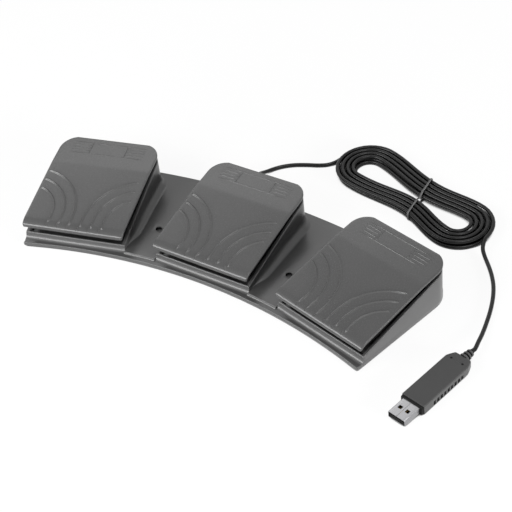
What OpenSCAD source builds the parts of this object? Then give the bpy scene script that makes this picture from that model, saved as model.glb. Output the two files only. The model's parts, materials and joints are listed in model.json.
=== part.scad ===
// Triple foot pedal switch with a hanked cord and a plug.
// Millimetres, +Z up, +X to the user's right along the row, +Y to the rear, where the cord leaves.
// The origin lies on the floor, in the middle of the base.

/* [Fan] */
// Radius from the centre of the fan to the pedal noses
fan_r = 366; // [340:1:420]
// Angle between two neighbouring pedals
fan_angle = 14.3; // [13.6:0.1:17]
// Radius of the front edge of the lip
front_r = 363.6; // [362.5:0.1:364]
// How far the deck reaches behind the pedal caps
deck_depth = 2.8; // [2:0.1:12]

/* [Pedal caps] */
// Width of a pedal cap
pedal_w = 70; // [64:1:74]
// Depth of a pedal cap from nose to rear edge, in plan
pedal_d = 78.2; // [76:0.1:84]
// Height of the cap's front plane above the nose line
nose_top_z = 17; // [16:0.1:18]
// Distance from the nose to the soft bend in the top
bend_y = 54; // [48:1:60]
// Height of the top at the bend
bend_z = 25.6; // [25:0.1:26.2]
// Height of the top at the rear edge
rear_top_z = 28.6; // [28.2:0.1:30]
// Radius of the rounded nose
nose_r = 4; // [3.4:0.1:4.4]
// Height of the nose's lower edge
nose_low = 12.5; // [12.4:0.1:13]
// Thickness of the cap's rim at the rear
rim_rear = 2.4; // [2.3:0.1:2.6]
// Wall over the hollow of the cap
cap_wall = 2.2; // [1.8:0.1:2.3]
// Radius of the rear corners in plan
corner_r = 12; // [8:0.5:15]
// Radius of the front corners in plan
front_corner_r = 0.8; // [0.5:0.1:2]
// How far the skirt lies inside the housing's sides
skirt_inset = 3.4; // [3.2:0.1:4]
// Thickness of the skirt
skirt_t = 2; // [1.6:0.1:2]
// Height of the skirt's front edge above the floor
skirt_z = 9.6; // [9.4:0.1:10.5]

/* [Pedal ribs] */
// Distance between two ticks over the nose
tick_pitch = 7.3; // [6.5:0.1:8]
// Side distance of the centre of the rib arcs
rib_x = 40.5; // [39:0.5:44]
// Distance of that centre from the nose, along the slope
rib_s = 9.5; // [8:0.5:14]
// Radius of the bead of a rib
rib_bead = 1.1; // [0.8:0.05:1.2]
// How far a rib stands proud
rib_h = 0.55; // [0.4:0.05:0.7]
// Width of the fine lines at the rear
line_w = 0.5; // [0.3:0.05:0.8]
// Height of the fine lines
line_h = 0.25; // [0.1:0.05:0.4]

/* [Shell] */
// Width of a housing
housing_w = 69.6; // [68:0.1:70]
// Distance of the housing's front face behind the nose
housing_front_y = 1.9; // [1.6:0.1:2.2]
// Height of the housing's front edge
housing_front_z = 7.8; // [7.4:0.1:8]
// How far the cap overhangs the rear of the housing
rear_overhang = 0.5; // [0.4:0.1:1]
// Height of the housing's top edge at the rear
housing_rear_z = 25.3; // [24:0.1:25.4]
// Thickness of the shell's walls
shell_wall = 2.2; // [1.8:0.1:2.2]
// Thickness of the housing's front wall
front_wall = 1.2; // [1:0.1:1.3]
// Height of the deck above the floor
deck_top = 4.8; // [4.6:0.1:5]
// Height of the top of the lip above the floor
lip_top = 3.4; // [3:0.1:3.6]
// Depth of the lip in front of the deck
lip_w = 3.6; // [3:0.1:4]
// Radius of the lip's edges
lip_edge = 0.5; // [0.3:0.05:0.8]
// Radius of the deck's rear edge
deck_edge = 1; // [0.5:0.1:1.5]
// Radius of the cove under the housing's front edge
cove_r = 3.2; // [2.8:0.1:3.4]
// Radius of the base's rear corners in plan
base_corner = 14.5; // [13.5:0.1:15]
// Radius of the sweep from the deck into the housing walls
sweep_r = 4; // [2:0.5:6]
// Bore of the screw-down holes in the deck
hole_d = 4; // [3.5:0.1:4.5]
// Distance between the two screw-down holes
hole_spacing = 98; // [96:0.5:102]

/* [Bottom] */
// How far the feet stand below the bottom plate
foot_h = 0.8; // [0.6:0.1:1]
// Thickness of the bottom plate
plate_t = 2; // [1.8:0.1:2.2]
// Diameter of a rubber foot
foot_d = 10; // [8:0.5:12]
// Depth of the seat of a foot in the bottom plate
foot_seat = 0.6; // [0.4:0.1:0.7]
// Play between the bottom plate and the shell's rim
plate_play = 0.2; // [0.15:0.05:0.3]

/* [Hinge and spring] */
// Distance of the hinge from the cap's rear edge
hinge_inset = 17.2; // [16.6:0.1:18]
// Height of the hinge above the floor
hinge_z = 18; // [17.5:0.1:18.5]
// Diameter of a hinge pin
pin_d = 3; // [2.5:0.1:3.2]
// Radial play of the pin in the cap
pin_play = 0.06; // [0.03:0.01:0.1]
// Outer diameter of the return spring
spring_d = 9; // [8.4:0.1:9.6]
// Wire of the return spring
spring_wire = 0.9; // [0.7:0.05:1]
// Turns of the return spring
spring_turns = 7; // [5:1:8]

/* [Switch] */
// Length of a switch body
switch_l = 12.8; // [12.6:0.1:13]
// Width of a switch body
switch_w = 5.8; // [5.6:0.1:6.4]
// Height of a switch body
switch_h = 6.5; // [6.3:0.1:6.6]
// Thickness of a circuit board
board_t = 1.6; // [1.4:0.1:1.7]
// Height of the board posts on the bottom plate
post_h = 1.8; // [1.7:0.1:2]
// Angle of a switch lever at rest
lever_angle = 6.5; // [6:0.1:7]

/* [Cord and plug] */
// Diameter of the cord
cord_d = 2.6; // [2.4:0.1:2.8]
// Height of the gland in the rear wall
gland_z = 8.6; // [8.4:0.1:9.5]
// Side position of the gland behind the middle pedal
gland_x = -18; // [-20:0.5:-14]
// Width of the plug's metal shell
usb_w = 12; // [11.9:0.05:12.1]
// Thickness of the plug's metal shell
usb_t = 4.5; // [4.4:0.05:4.6]
// Free length of the plug's metal shell
usb_l = 12.5; // [11.8:0.1:13]
// Width of the plug body
plug_w = 16; // [15:0.1:17]
// Length of the plug body
plug_l = 44; // [42:0.5:46]
// Thickness of the plug body
plug_t = 6.6; // [6.4:0.1:8]

/* [Hidden] */
$fn = 48;
ARC_FN = 360;
SIDES = [-1, 1];
SEATS = [-1, 0, 1];
FAR = 60;
CUT = 1;

// Colours
SHELL_GREY = [0.27, 0.27, 0.275];
CAP_GREY = [0.31, 0.31, 0.315];
BLACK = [0.05, 0.05, 0.055];
STEEL = [0.7, 0.7, 0.72];
PLUG_GREY = [0.2, 0.2, 0.205];
BOARD_GREEN = [0.1, 0.32, 0.16];
GOLD = [0.8, 0.62, 0.25];

// The fan's centre, placed so that the base lies in the middle of the frame
half_w = housing_w / 2;
rear_r = fan_r + pedal_d + deck_depth;
tip_y = sqrt(pow(front_r, 2) - pow(half_w, 2)) * cos(fan_angle) - half_w * sin(fan_angle);
fan_y = -(rear_r + tip_y) / 2;
sweep_angle = fan_angle + 8;

// Heights in the base
plate_z = foot_h + plate_t;
board_z = plate_z + post_h;
board_top = board_z + board_t;
switch_top = board_top + switch_h;

// The cap's profile
front_slope = atan((bend_z - nose_top_z) / bend_y);
rear_slope = atan((rear_top_z - bend_z) / (pedal_d - bend_y));
nose_z = nose_top_z + nose_r * tan(front_slope) - nose_r / cos(front_slope);
rim_low_rear = rear_top_z - rim_rear;
skirt_half = half_w - skirt_inset;
skirt_front = housing_front_y + front_wall + 0.5;
skirt_draft = 1.2;
ear_r = 4;
rib_low = 4.6;
rib_end_left = 0.6;
rib_end_right = 4;
line_front = 10;
line_gap = 10;
line_half = 26;
line_post = 12.5;
function cap_top(y) = y < bend_y ? nose_top_z + y * tan(front_slope)
    : bend_z + (y - bend_y) * tan(rear_slope);
function rim_low(y) = nose_low + (y - nose_r) * (rim_low_rear - nose_low) / (pedal_d - nose_r);

// The housing
housing_rear_y = pedal_d - rear_overhang;
hinge_y = pedal_d - hinge_inset;
housing_corner = corner_r - rear_overhang;
hole_x = hole_spacing / 2;
hole_depth = 28;
hole_r = fan_r + hole_depth;
hole_y = fan_y + sqrt(pow(hole_r, 2) - pow(hole_x, 2));

// Hinge supports: a rib of the shell on the inner side of each ear of the cap
rib_gap = 0.8;
hinge_rib_t = 2.6;
hinge_rib_x = skirt_half - skirt_t - rib_gap;
pin_seat_play = 0.02;
pin_head_d = 4.8;
pin_head_t = 1;
pin_end = skirt_half + 0.4;

// Base screws: two bosses at the front corners of each housing and one at the rear wall
screw_d = 2.5;
screw_head_d = 5;
screw_play = 0.15;
screw_tip = 1.2;
boss_r = 2.8;
boss_sink = 0.4;
boss_front_top = 6;
boss_rear_top = 12;
boss_y = housing_front_y + front_wall + boss_r - boss_sink;
boss_rear_y = housing_rear_y - shell_wall - boss_r + boss_sink;
boss_edge = 0.3;
boss_x = half_w - shell_wall - plate_play - boss_edge - screw_head_d / 2 - screw_play;
BOSSES = [[-boss_x, boss_y, boss_front_top], [boss_x, boss_y, boss_front_top], [0, boss_rear_y, boss_rear_top]];

// Feet, in the frame of each pedal
foot_x = 24;
foot_front = 18;
foot_inset = 16.2;
foot_rear = pedal_d - foot_inset;
FEET = [for (k = SEATS, y = [foot_front, foot_rear]) [k, k * foot_x, y]];

// Return spring
spring_x = 12;
spring_y = 28;
spring_low = plate_z + 0.1;
spring_high = 16.9;
spring_seat = spring_high + 0.1;
spring_r = (spring_d - spring_wire) / 2;
spring_post_d = spring_d - 2 * spring_wire - 1;

// Switch, board and lever
switch_x = -12;
switch_y = 24;
board_w = 20;
board_y = 20;
board_l = 22;
controller_l = 42;
chip_y = 51;
chip_w = 9;
chip_t = 1.5;
chip_legs = 10;
leg_pitch = 0.8;
post_r = 2.2;
post_in = 2;
board_screw_d = 2;
board_bite = 1.6;
pivot_y = switch_y + 1;
pivot_z = switch_top + 0.6;
pivot_d = 0.8;
pivot_play = 0.05;
lever_w = 3.6;
lever_t = 0.35;
lever_l = 14.5;
lug_t = 0.8;
lug_h = 1.4;
lug_d = 2;
lug_play = 0.2;
plunger_reach = 6;
plunger_y = switch_y + plunger_reach;
plunger_d = 1.6;
plunger_play = 0.05;
plunger_deep = 1.4;
plunger_gap = 0.09;
plunger_top = pivot_z + (plunger_y - pivot_y) * tan(lever_angle) - lever_t / 2 / cos(lever_angle) - plunger_gap;
press_reach = 12;
press_y = pivot_y + press_reach;
press_gap = 0.3;
press_z = pivot_z + (press_y - pivot_y) * tan(lever_angle) + lever_t / 2 / cos(lever_angle) + press_gap;
press_r = 1;
TERMINALS = [1.3, 6.4, 11.5];
terminal_w = 0.9;
terminal_t = 0.5;
terminal_play = 0.1;
terminal_end = 0.6;

// Ribbon leads in a groove of the bottom plate, along the fan
ribbon_y = 34.3;
ribbon_r = fan_r + ribbon_y;
ribbon_w = 3;
ribbon_t = 0.9;
ribbon_z = plate_z - 1.05;
ribbon_play = 0.2;
lead_turn = 1.1;
LEFT_LEAD = [2 * lead_turn, fan_angle + lead_turn];
RIGHT_LEAD = [lead_turn - fan_angle, lead_turn];

// Gland and cable tail
wall_in = housing_rear_y - shell_wall;
gland_neck = 2.9;
gland_play = 0.05;
gland_flange_in = 4.2;
gland_flange_t = 1.5;
gland_flange_out = 3.6;
gland_l = 12.6;
gland_ribs = 4;
tail_l = 12;
nose_line = fan_y + fan_r;
gland_end = nose_line + housing_rear_y + gland_l;

// Cord routes: hand-chosen points, from the gland to the hank and from the hank to the plug
TO_HANK = [[gland_x, gland_end, gland_z], [gland_x, gland_end + 4, gland_z], [-18.5, 69.5, 6.6],
    [-19, 74, 4.2], [-18, 79, 2.2], [-15.4, 84.6, 1.4], [-11, 89.6, 1.3], [-5, 94, 1.3],
    [2.5, 97.6, 1.3], [9.5, 100.4, 1.3], [14.9, 103.6, 1.3], [18.2, 107.8, 1.3]];
TO_PLUG = [[142.4, 74.6, 3.7], [143.9, 70.4, 2.9], [146.8, 66.4, 2], [150.4, 62.4, 1.4], [154.4, 57.6, 1.3],
    [158.6, 51.8, 1.3], [162.8, 44.6, 1.3], [166.6, 35.6, 1.3], [169.8, 25, 1.3], [172.2, 14, 1.4],
    [173.9, 5, 2], [174.9, -2, 2.8]];

// Hank of cord: one tube that spirals in on the floor and out again on top
hank_x = 88;
hank_y = 95.3;
hank_turn = -18;
hank_left_r = 9;
hank_right_r = 8.2;
hank_left_u = -47;
hank_right_u = 33.8;
hank_waist = 3.2;
hank_pitch = 3.5;
hank_layer = 3.15;
hank_in = 4;
hank_out = 4;
hank_steps = 24;
hank_sides = 6;
hank_early = 0.02;
hank_loops = hank_in + 0.5 + hank_out - hank_early;
hank_wide = hank_in * hank_pitch;
waist_lift = 0.8;
waist_reach = 30;
tie_turn = 2.5;
tie_w = 1.2;
tie_t = 0.5;
tie_play = 0.25;
tie_side_play = 1;

// Plug, in a frame at the middle of the body's front, on the floor
plug_x = 163.5;
plug_y = -61.5;
plug_turn = -13;
plug_taper = 6;
plug_rear_w = 11;
collar_w = plug_w - 1.2;
collar_t = plug_t - 0.8;
collar_l = 1.6;
usb_wall = 0.3;
usb_hole = 2.4;
tongue_t = 1.9;
tongue_in = 0.6;
boot_l = 8;
boot_r = plug_t / 2 - 0.1;
boot_ribs = 3;
boot_step = 2.6;
notches = 9;
notch_pitch = 3;
notch_start = 9;
notch_r = 1.1;
notch_out = 0.5;
notch_low = 0.9;
notch_h = 3.2;
dot_x = 4;
dot_in = 6;
dot_r = 0.5;
contact_l = 8;
contact_w = 1;
contact_t = 0.2;
CONTACTS = [-3.5, -1, 1, 3.5];
tongue_z = plug_t / 2 - usb_t / 2 + usb_wall + 0.02;

// Places children in the frame of one pedal: the nose line on the floor, +Y to the rear
module at_pedal(k) {
    translate([0, fan_y, 0]) rotate(-k * fan_angle) translate([0, fan_r, 0]) children();
}
// Extrudes a side view, drawn as distance from the nose and height, across the pedal
module across(w) {
    rotate([90, 0, 90]) linear_extrude(w, center = true) children();
}
// A plan with rounded rear corners, and front corners of their own radius
module rounded_plan(half, front, rear, r, r_front) {
    translate([-half, front + r_front]) square([2 * half, rear - r - front - r_front]);
    translate([-half + r_front, front]) square([2 * half - 2 * r_front, rear - r - front]);
    translate([-half + r, front + r_front]) square([2 * half - 2 * r, rear - front - r_front]);
    for (s = SIDES) {
        translate([s * (half - r), rear - r]) circle(r);
        if (r_front > 0) translate([s * (half - r_front), front + r_front]) circle(r_front);
    }
}
// What is left in a corner outside a quarter circle
module corner_piece(r) {
    difference() {
        square(r);
        circle(r);
    }
}

// The arced plan of the base, drawn in by an inset. Each rear corner touches the side and the rear arc
module base_plan(inset) {
    reach = rear_r + FAR;
    half = half_w - inset;
    r = base_corner - inset;
    side = half - r;
    corner_y = sqrt(pow(rear_r - inset - r, 2) - pow(side, 2));
    cut = r + FAR;
    translate([0, fan_y]) difference() {
        intersection() {
            difference() {
                circle(rear_r - inset, $fn = ARC_FN);
                circle(front_r + inset, $fn = ARC_FN);
            }
            rotate(-fan_angle) translate([-reach, 0]) square([reach + half, reach]);
            rotate(fan_angle) translate([-half, 0]) square([reach + half, reach]);
        }
        for (s = SIDES) rotate(-s * fan_angle) mirror([s < 0 ? 1 : 0, 0])
            translate([side, corner_y]) difference() {
                polygon([[0, 0], [cut, 0], [cut, cut], [cut * side / corner_y, cut]]);
                circle(r);
            }
    }
}
// Section of the deck: a lip with rounded edges, a small cove, the deck
module deck_section() {
    depth = rear_r - front_r;
    step = deck_top - lip_top;
    translate([front_r, 0]) {
        translate([lip_edge, foot_h]) square([depth - lip_edge, lip_top - foot_h]);
        translate([0, foot_h + lip_edge]) square([depth, lip_top - foot_h - 2 * lip_edge]);
        for (z = [foot_h + lip_edge, lip_top - lip_edge]) translate([lip_edge, z]) circle(lip_edge);
        translate([lip_w, foot_h]) square([depth - lip_w - deck_edge, deck_top - foot_h]);
        translate([lip_w, foot_h]) square([depth - lip_w, deck_top - foot_h - deck_edge]);
        translate([depth - deck_edge, deck_top - deck_edge]) circle(deck_edge);
        translate([lip_w - step, lip_top + step]) rotate(-90) corner_piece(step);
    }
}
module deck() {
    intersection() {
        translate([0, fan_y, 0]) rotate(90 - sweep_angle)
            rotate_extrude(angle = 2 * sweep_angle, $fn = ARC_FN) deck_section();
        translate([0, 0, -CUT]) linear_extrude(FAR) base_plan(0);
    }
}
// Side view of a housing: front face, rounded front edge, sloping top
module housing_side() {
    edge = lip_edge;
    polygon([[housing_front_y, foot_h], [housing_front_y, housing_front_z - edge],
        [housing_front_y + edge, housing_front_z], [housing_rear_y, housing_rear_z], [housing_rear_y, foot_h]]);
    translate([housing_front_y + edge, housing_front_z - edge]) circle(edge);
}
module cove_side() {
    translate([housing_front_y - cove_r, lip_top + cove_r]) rotate(-90) corner_piece(cove_r);
    translate([housing_front_y - cove_r, foot_h]) square([cove_r, lip_top - foot_h]);
}
module housing() {
    intersection() {
        linear_extrude(FAR) rounded_plan(half_w, 0, housing_rear_y, housing_corner, 0);
        across(housing_w) housing_side();
    }
    across(housing_w) cove_side();
}
// The sweep from the deck into one side wall
module wall_sweep(s) {
    run = housing_rear_y - housing_corner - housing_front_y - lip_edge;
    translate([s * (half_w + sweep_r), housing_front_y + lip_edge + run, deck_top + sweep_r])
        rotate([90, 0, 0]) mirror([s > 0 ? 1 : 0, 0, 0]) linear_extrude(run)
            mirror([0, 1]) corner_piece(sweep_r);
}
module housing_hollow() {
    translate([0, 0, plate_z - CUT]) linear_extrude(FAR)
        rounded_plan(half_w - shell_wall, housing_front_y + front_wall, wall_in, housing_corner - shell_wall, 0);
}
// Upright rib behind the hinge, tied to the rear wall, with a bore for the pin
module hinge_rib() {
    head = 3.2;
    back = wall_in - hinge_y + boss_sink;
    difference() {
        union() {
            translate([hinge_y - head, plate_z]) square([back + head, hinge_z - plate_z]);
            translate([hinge_y, hinge_z - head]) square([back, 2 * head]);
            translate([hinge_y, hinge_z]) circle(head);
        }
        translate([hinge_y, hinge_z]) circle(pin_d / 2 + pin_seat_play);
    }
}
module gland_hole(r) {
    at_pedal(0) translate([gland_x, wall_in - CUT, gland_z]) rotate([-90, 0, 0])
        cylinder(r = r, h = shell_wall + 2 * CUT);
}
module hold_down_holes() {
    for (s = SIDES) translate([s * hole_x, hole_y, -CUT]) cylinder(d = hole_d, h = FAR);
}

module top_shell() {
    color(SHELL_GREY) difference() {
        union() {
            difference() {
                union() {
                    deck();
                    for (k = SEATS) at_pedal(k) housing();
                    for (k = [-1, 0]) at_pedal(k) wall_sweep(1);
                    for (k = [0, 1]) at_pedal(k) wall_sweep(-1);
                }
                translate([0, 0, -CUT]) linear_extrude(plate_z + CUT) base_plan(shell_wall);
                for (k = SEATS) at_pedal(k) housing_hollow();
            }
            for (k = SEATS) at_pedal(k) {
                for (s = SIDES) translate([s * (hinge_rib_x - hinge_rib_t / 2), 0, 0])
                    across(hinge_rib_t) hinge_rib();
                for (b = BOSSES) translate([b[0], b[1], plate_z]) cylinder(r = boss_r, h = b[2] - plate_z);
            }
        }
        for (k = SEATS) at_pedal(k)
            for (b = BOSSES) translate([b[0], b[1], 0])
                cylinder(d = screw_d + 2 * pin_seat_play, h = b[2] - screw_tip / 2);
        gland_hole(gland_neck + gland_play);
        hold_down_holes();
    }
}

module bottom_plate() {
    inset = shell_wall + plate_play;
    groove = ribbon_w + 2 * ribbon_play;
    color(SHELL_GREY) difference() {
        union() {
            translate([0, 0, foot_h]) linear_extrude(plate_t) base_plan(inset);
            for (k = SEATS) at_pedal(k) {
                translate([spring_x, spring_y, foot_h]) cylinder(d = spring_post_d, h = plate_t + 3.6);
                for (p = board_posts(k)) translate([p[0], p[1], foot_h])
                    cylinder(r = post_r, h = plate_t + post_h);
            }
        }
        translate([0, fan_y, ribbon_z]) rotate(90 - sweep_angle)
            rotate_extrude(angle = 2 * sweep_angle, $fn = ARC_FN)
                translate([ribbon_r - groove / 2, -ribbon_play / 4]) square([groove, plate_t]);
        for (k = SEATS) at_pedal(k) {
            for (b = BOSSES) translate([b[0], b[1], foot_h]) screw_hollow();
            for (p = board_posts(k)) translate([p[0], p[1], foot_h + plate_t / 2])
                cylinder(d = board_screw_d + 2 * pin_seat_play, h = FAR);
        }
        for (f = FEET) at_pedal(f[0]) translate([f[1], f[2], foot_h - CUT])
            cylinder(d = foot_d + plate_play, h = CUT + foot_seat);
        hold_down_holes();
    }
}
// Countersunk hole for a base screw
module screw_hollow() {
    rise = (screw_head_d - screw_d) / 2;
    translate([0, 0, -CUT]) cylinder(d = screw_head_d + 2 * screw_play, h = CUT);
    cylinder(d1 = screw_head_d + 2 * screw_play, d2 = screw_d + 2 * screw_play, h = rise);
    cylinder(d = screw_d + 2 * screw_play, h = plate_t + CUT);
}
function board_posts(k) = [[switch_x - board_w / 2 + post_in, board_y + post_in],
    [switch_x + board_w / 2 - post_in, board_y + (k == 0 ? controller_l : board_l) - post_in]];

module rubber_feet() {
    color(BLACK) for (f = FEET) at_pedal(f[0]) translate([f[1], f[2], 0]) {
        cylinder(d1 = foot_d - 1, d2 = foot_d, h = 0.5);
        translate([0, 0, 0.5]) cylinder(d = foot_d, h = foot_h + foot_seat - 0.5);
    }
}
module base_screws() {
    rise = (screw_head_d - screw_d) / 2;
    slot = 0.8;
    color(STEEL) for (k = SEATS) at_pedal(k) for (b = BOSSES) translate([b[0], b[1], foot_h]) difference() {
        union() {
            cylinder(d1 = screw_head_d, d2 = screw_d, h = rise);
            cylinder(d = screw_d, h = b[2] - foot_h - screw_tip);
        }
        for (a = [0, 90]) rotate(a) translate([-screw_d / 2, -slot / 2, -CUT]) cube([screw_d, slot, CUT + slot]);
    }
}

// Side view of the cap's plate: soft bend in the top, rounded nose cut off below, rim that thins to the rear
module plate_side() {
    polygon([[nose_r, nose_low], [nose_r - nose_r * sin(front_slope), nose_z + nose_r * cos(front_slope)],
        [bend_y, bend_z], [pedal_d, rear_top_z], [pedal_d, rim_low_rear]]);
    intersection() {
        translate([nose_r, nose_z]) circle(nose_r);
        translate([0, nose_low]) square(2 * nose_r);
    }
}
module skirt_side() {
    rear = hinge_y + ear_r;
    polygon([[skirt_front - skirt_draft, nose_z], [skirt_front, skirt_z], [hinge_y - ear_r, hinge_z - 2],
        [hinge_y, hinge_z - ear_r], [rear, hinge_z], [rear, rim_low(rear) + 1]]);
    translate([hinge_y, hinge_z]) circle(ear_r);
}
module hollow_side() {
    front = skirt_front + skirt_t;
    rear = pedal_d - 4;
    polygon([[front, 0], [front, cap_top(front) - cap_wall], [bend_y, bend_z - cap_wall],
        [rear, cap_top(rear) - cap_wall], [rear, 0]]);
}
// Raised arcs on the front plane: two groups that share the ticks' spacing.
// The left ones run out to the edge, the right ones stop before it
module rib_arcs() {
    sink = rib_bead - rib_h;
    translate([0, 0, nose_top_z]) rotate([front_slope, 0, 0]) for (s = SIDES) mirror([s < 0 ? 1 : 0, 0, 0])
        for (i = [0:2]) {
            r = rib_x - tick_pitch * (i + 0.5);
            edge = pedal_w / 2 - (s < 0 ? rib_end_left : rib_end_right);
            stop = acos((rib_x - edge) / r);
            start = asin((rib_s - rib_low) / r);
            translate([rib_x, rib_s, -sink]) rotate(180 - stop)
                rotate_extrude(angle = stop + start) translate([r, 0]) circle(rib_bead, $fn = 16);
        }
}
// Short ticks wrapped over the nose
module rib_ticks() {
    sink = rib_bead - rib_h;
    for (i = [-2.5:1:2.5]) translate([i * tick_pitch, nose_r, nose_z]) rotate([90, 0, 90])
        rotate(95) rotate_extrude(angle = 60) translate([nose_r - sink, 0]) circle(rib_bead, $fn = 16);
}
// Fine raised lines on the rear plane: two long ones, two posts between them, short ones at both sides
module rib_lines() {
    low = bend_y + line_front;
    high = low + line_gap;
    step = line_gap / 3;
    translate([0, bend_y, bend_z]) rotate([rear_slope, 0, 0]) translate([0, -bend_y, 0]) {
        for (y = [low, high]) line_bar([0, y], [2 * line_half, line_w]);
        for (s = SIDES) {
            line_bar([s * line_post, low + line_gap / 2], [line_w, line_gap]);
            for (i = [1, 2])
                line_bar([s * (line_post + line_half) / 2, low + i * step], [line_half - line_post, line_w]);
        }
    }
}
module line_bar(middle, size) {
    translate([middle[0] - size[0] / 2, middle[1] - size[1] / 2, -line_h]) cube([size[0], size[1], 2 * line_h]);
}
module pedal() {
    color(CAP_GREY) difference() {
        union() {
            difference() {
                union() {
                    intersection() {
                        linear_extrude(FAR) rounded_plan(pedal_w / 2, 0, pedal_d, corner_r, front_corner_r);
                        across(pedal_w) plate_side();
                    }
                    across(2 * skirt_half) skirt_side();
                }
                across(2 * (skirt_half - skirt_t)) hollow_side();
            }
            rib_arcs();
            rib_ticks();
            rib_lines();
            translate([switch_x, 0, 0]) across(lever_w) press_side();
            translate([spring_x, spring_y, spring_seat])
                cylinder(d = spring_d + 1.6, h = cap_top(spring_y) - cap_wall / 2 - spring_seat);
            translate([spring_x, spring_y, spring_seat - 3]) cylinder(d = spring_post_d, h = 4);
        }
        for (s = SIDES) translate([s * (skirt_half - skirt_t / 2), hinge_y, hinge_z]) rotate([0, 90, 0])
            cylinder(d = pin_d + 2 * pin_play, h = skirt_t + CUT, center = true);
    }
}
// Rounded rib under the cap that pushes the switch lever
module press_side() {
    translate([press_y, press_z + press_r]) circle(press_r);
    translate([press_y - press_r, press_z + press_r])
        square([2 * press_r, cap_top(press_y) - cap_wall / 2 - press_z - press_r]);
}

module hinge_pins() {
    inner = hinge_rib_x - hinge_rib_t;
    color(STEEL) for (s = SIDES) mirror([s < 0 ? 1 : 0, 0, 0])
        translate([inner, hinge_y, hinge_z]) rotate([0, 90, 0]) {
            cylinder(d = pin_d, h = pin_end - inner);
            translate([0, 0, -pin_head_t]) cylinder(d = pin_head_d, h = pin_head_t);
        }
}

// Sweeps a round tube along points: one ring of corners for each point
function unit(v) = v / norm(v);
function along(p, i) = unit(p[min(i + 1, len(p) - 1)] - p[max(i - 1, 0)]);
function ring(p, i, r, n) = let (t = along(p, i), side = unit(cross(t, [0, 0, 1])), up = cross(side, t))
    [for (j = [0:n - 1]) let (a = 360 * (j + 0.5) / n) p[i] + r * (side * cos(a) + up * sin(a))];
module tube(p, d, n) {
    last = len(p) - 1;
    points = [for (i = [0:last]) each ring(p, i, d / 2, n)];
    walls = [for (i = [0:last - 1], j = [0:n - 1]) let (a = i * n + j, b = i * n + (j + 1) % n)
        each [[a, b, b + n], [a, b + n, a + n]]];
    ends = [for (j = [1:n - 2]) each [[0, j + 1, j], [last * n, last * n + j, last * n + j + 1]]];
    polyhedron(points, concat(walls, ends), convexity = 10);
}
module return_spring() {
    rings = 8;
    count = spring_turns * rings;
    rise = spring_high - spring_low - spring_wire;
    p = [for (i = [0:count]) let (a = 360 * i / rings)
        [spring_r * cos(a), spring_r * sin(a), spring_low + spring_wire / 2 + rise * i / count]];
    color(STEEL) translate([spring_x, spring_y, 0]) tube(p, spring_wire, 6);
}

module switch_body() {
    lug_x = lever_w / 2 + lug_play;
    color(BLACK) translate([switch_x, switch_y, board_top]) difference() {
        union() {
            translate([-switch_w / 2, 0, 0]) cube([switch_w, switch_l, switch_h]);
            for (s = SIDES) translate([s * (lug_x + lug_t / 2) - lug_t / 2, 0, switch_h - CUT])
                cube([lug_t, lug_d, CUT + lug_h]);
        }
        translate([0, pivot_y - switch_y, pivot_z - board_top]) rotate([0, 90, 0])
            cylinder(d = pivot_d + 2 * pivot_play, h = 2 * switch_w, center = true);
        translate([0, plunger_reach, switch_h - plunger_deep - CUT])
            cylinder(d = plunger_d + 2 * plunger_play, h = FAR);
    }
}
module switch_lever() {
    color(STEEL) translate([switch_x, pivot_y, pivot_z]) rotate([lever_angle, 0, 0]) {
        translate([-lever_w / 2, 0, -lever_t / 2]) cube([lever_w, lever_l, lever_t]);
        rotate([0, 90, 0]) cylinder(d = pivot_d, h = lever_w + 2 * (lug_play + lug_t), center = true);
    }
}
module switch_plunger() {
    color([0.75, 0.1, 0.08]) translate([switch_x, plunger_y, switch_top - plunger_deep])
        cylinder(d = plunger_d, h = plunger_top - switch_top + plunger_deep);
}
module switch_terminals() {
    color(STEEL) for (k = SEATS) at_pedal(k) for (t = TERMINALS)
        translate([switch_x - terminal_w / 2, switch_y + t - terminal_t / 2, board_z - terminal_end])
            cube([terminal_w, terminal_t, board_t + terminal_end]);
}
module board(k, length) {
    color(BOARD_GREEN) at_pedal(k) difference() {
        translate([switch_x - board_w / 2, board_y, board_z]) cube([board_w, length, board_t]);
        for (t = TERMINALS) translate([switch_x - terminal_w / 2 - terminal_play,
            switch_y + t - terminal_t / 2 - terminal_play, board_z - CUT])
            cube([terminal_w + 2 * terminal_play, terminal_t + 2 * terminal_play, board_t + 2 * CUT]);
        for (p = board_posts(k)) translate([p[0], p[1], board_z - CUT])
            cylinder(d = board_screw_d + 2 * screw_play, h = FAR);
    }
}
module board_screws() {
    color(STEEL) for (k = SEATS) at_pedal(k) for (p = board_posts(k)) translate([p[0], p[1], board_top]) {
        cylinder(d = 1.8 * board_screw_d, h = 0.6 * board_screw_d);
        translate([0, 0, -board_t - board_bite]) cylinder(d = board_screw_d, h = board_t + board_bite);
    }
}
module controller_chip() {
    leg = [leg_pitch / 2, 1.4, 0.3];
    color(BLACK) at_pedal(0) translate([switch_x, chip_y, board_top]) {
        translate([-chip_w / 2, -chip_w / 2, 0]) cube([chip_w, chip_w, chip_t]);
        for (a = [0:90:270], i = [0:chip_legs - 1]) rotate(a)
            translate([(i - chip_legs / 2) * leg_pitch + leg[0] / 2, chip_w / 2 - leg[2], 0]) cube(leg);
    }
}
// A flat lead along the fan, turned up at both ends to the underside of the boards
module ribbon(span) {
    color([0.35, 0.35, 0.36]) translate([0, fan_y, ribbon_z]) {
        rotate(90 + span[0]) rotate_extrude(angle = span[1] - span[0], $fn = ARC_FN)
            translate([ribbon_r - ribbon_w / 2, 0]) square([ribbon_w, ribbon_t]);
        for (a = span) rotate(a) translate([-ribbon_t / 2, ribbon_r - ribbon_w / 2, 0])
            cube([ribbon_t, ribbon_w, board_z - ribbon_z]);
    }
}

module cable_tail() {
    color(BLACK) at_pedal(0) translate([gland_x, wall_in - gland_flange_t, gland_z]) rotate([90, 0, 0])
        cylinder(d = cord_d, h = tail_l);
}
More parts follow.
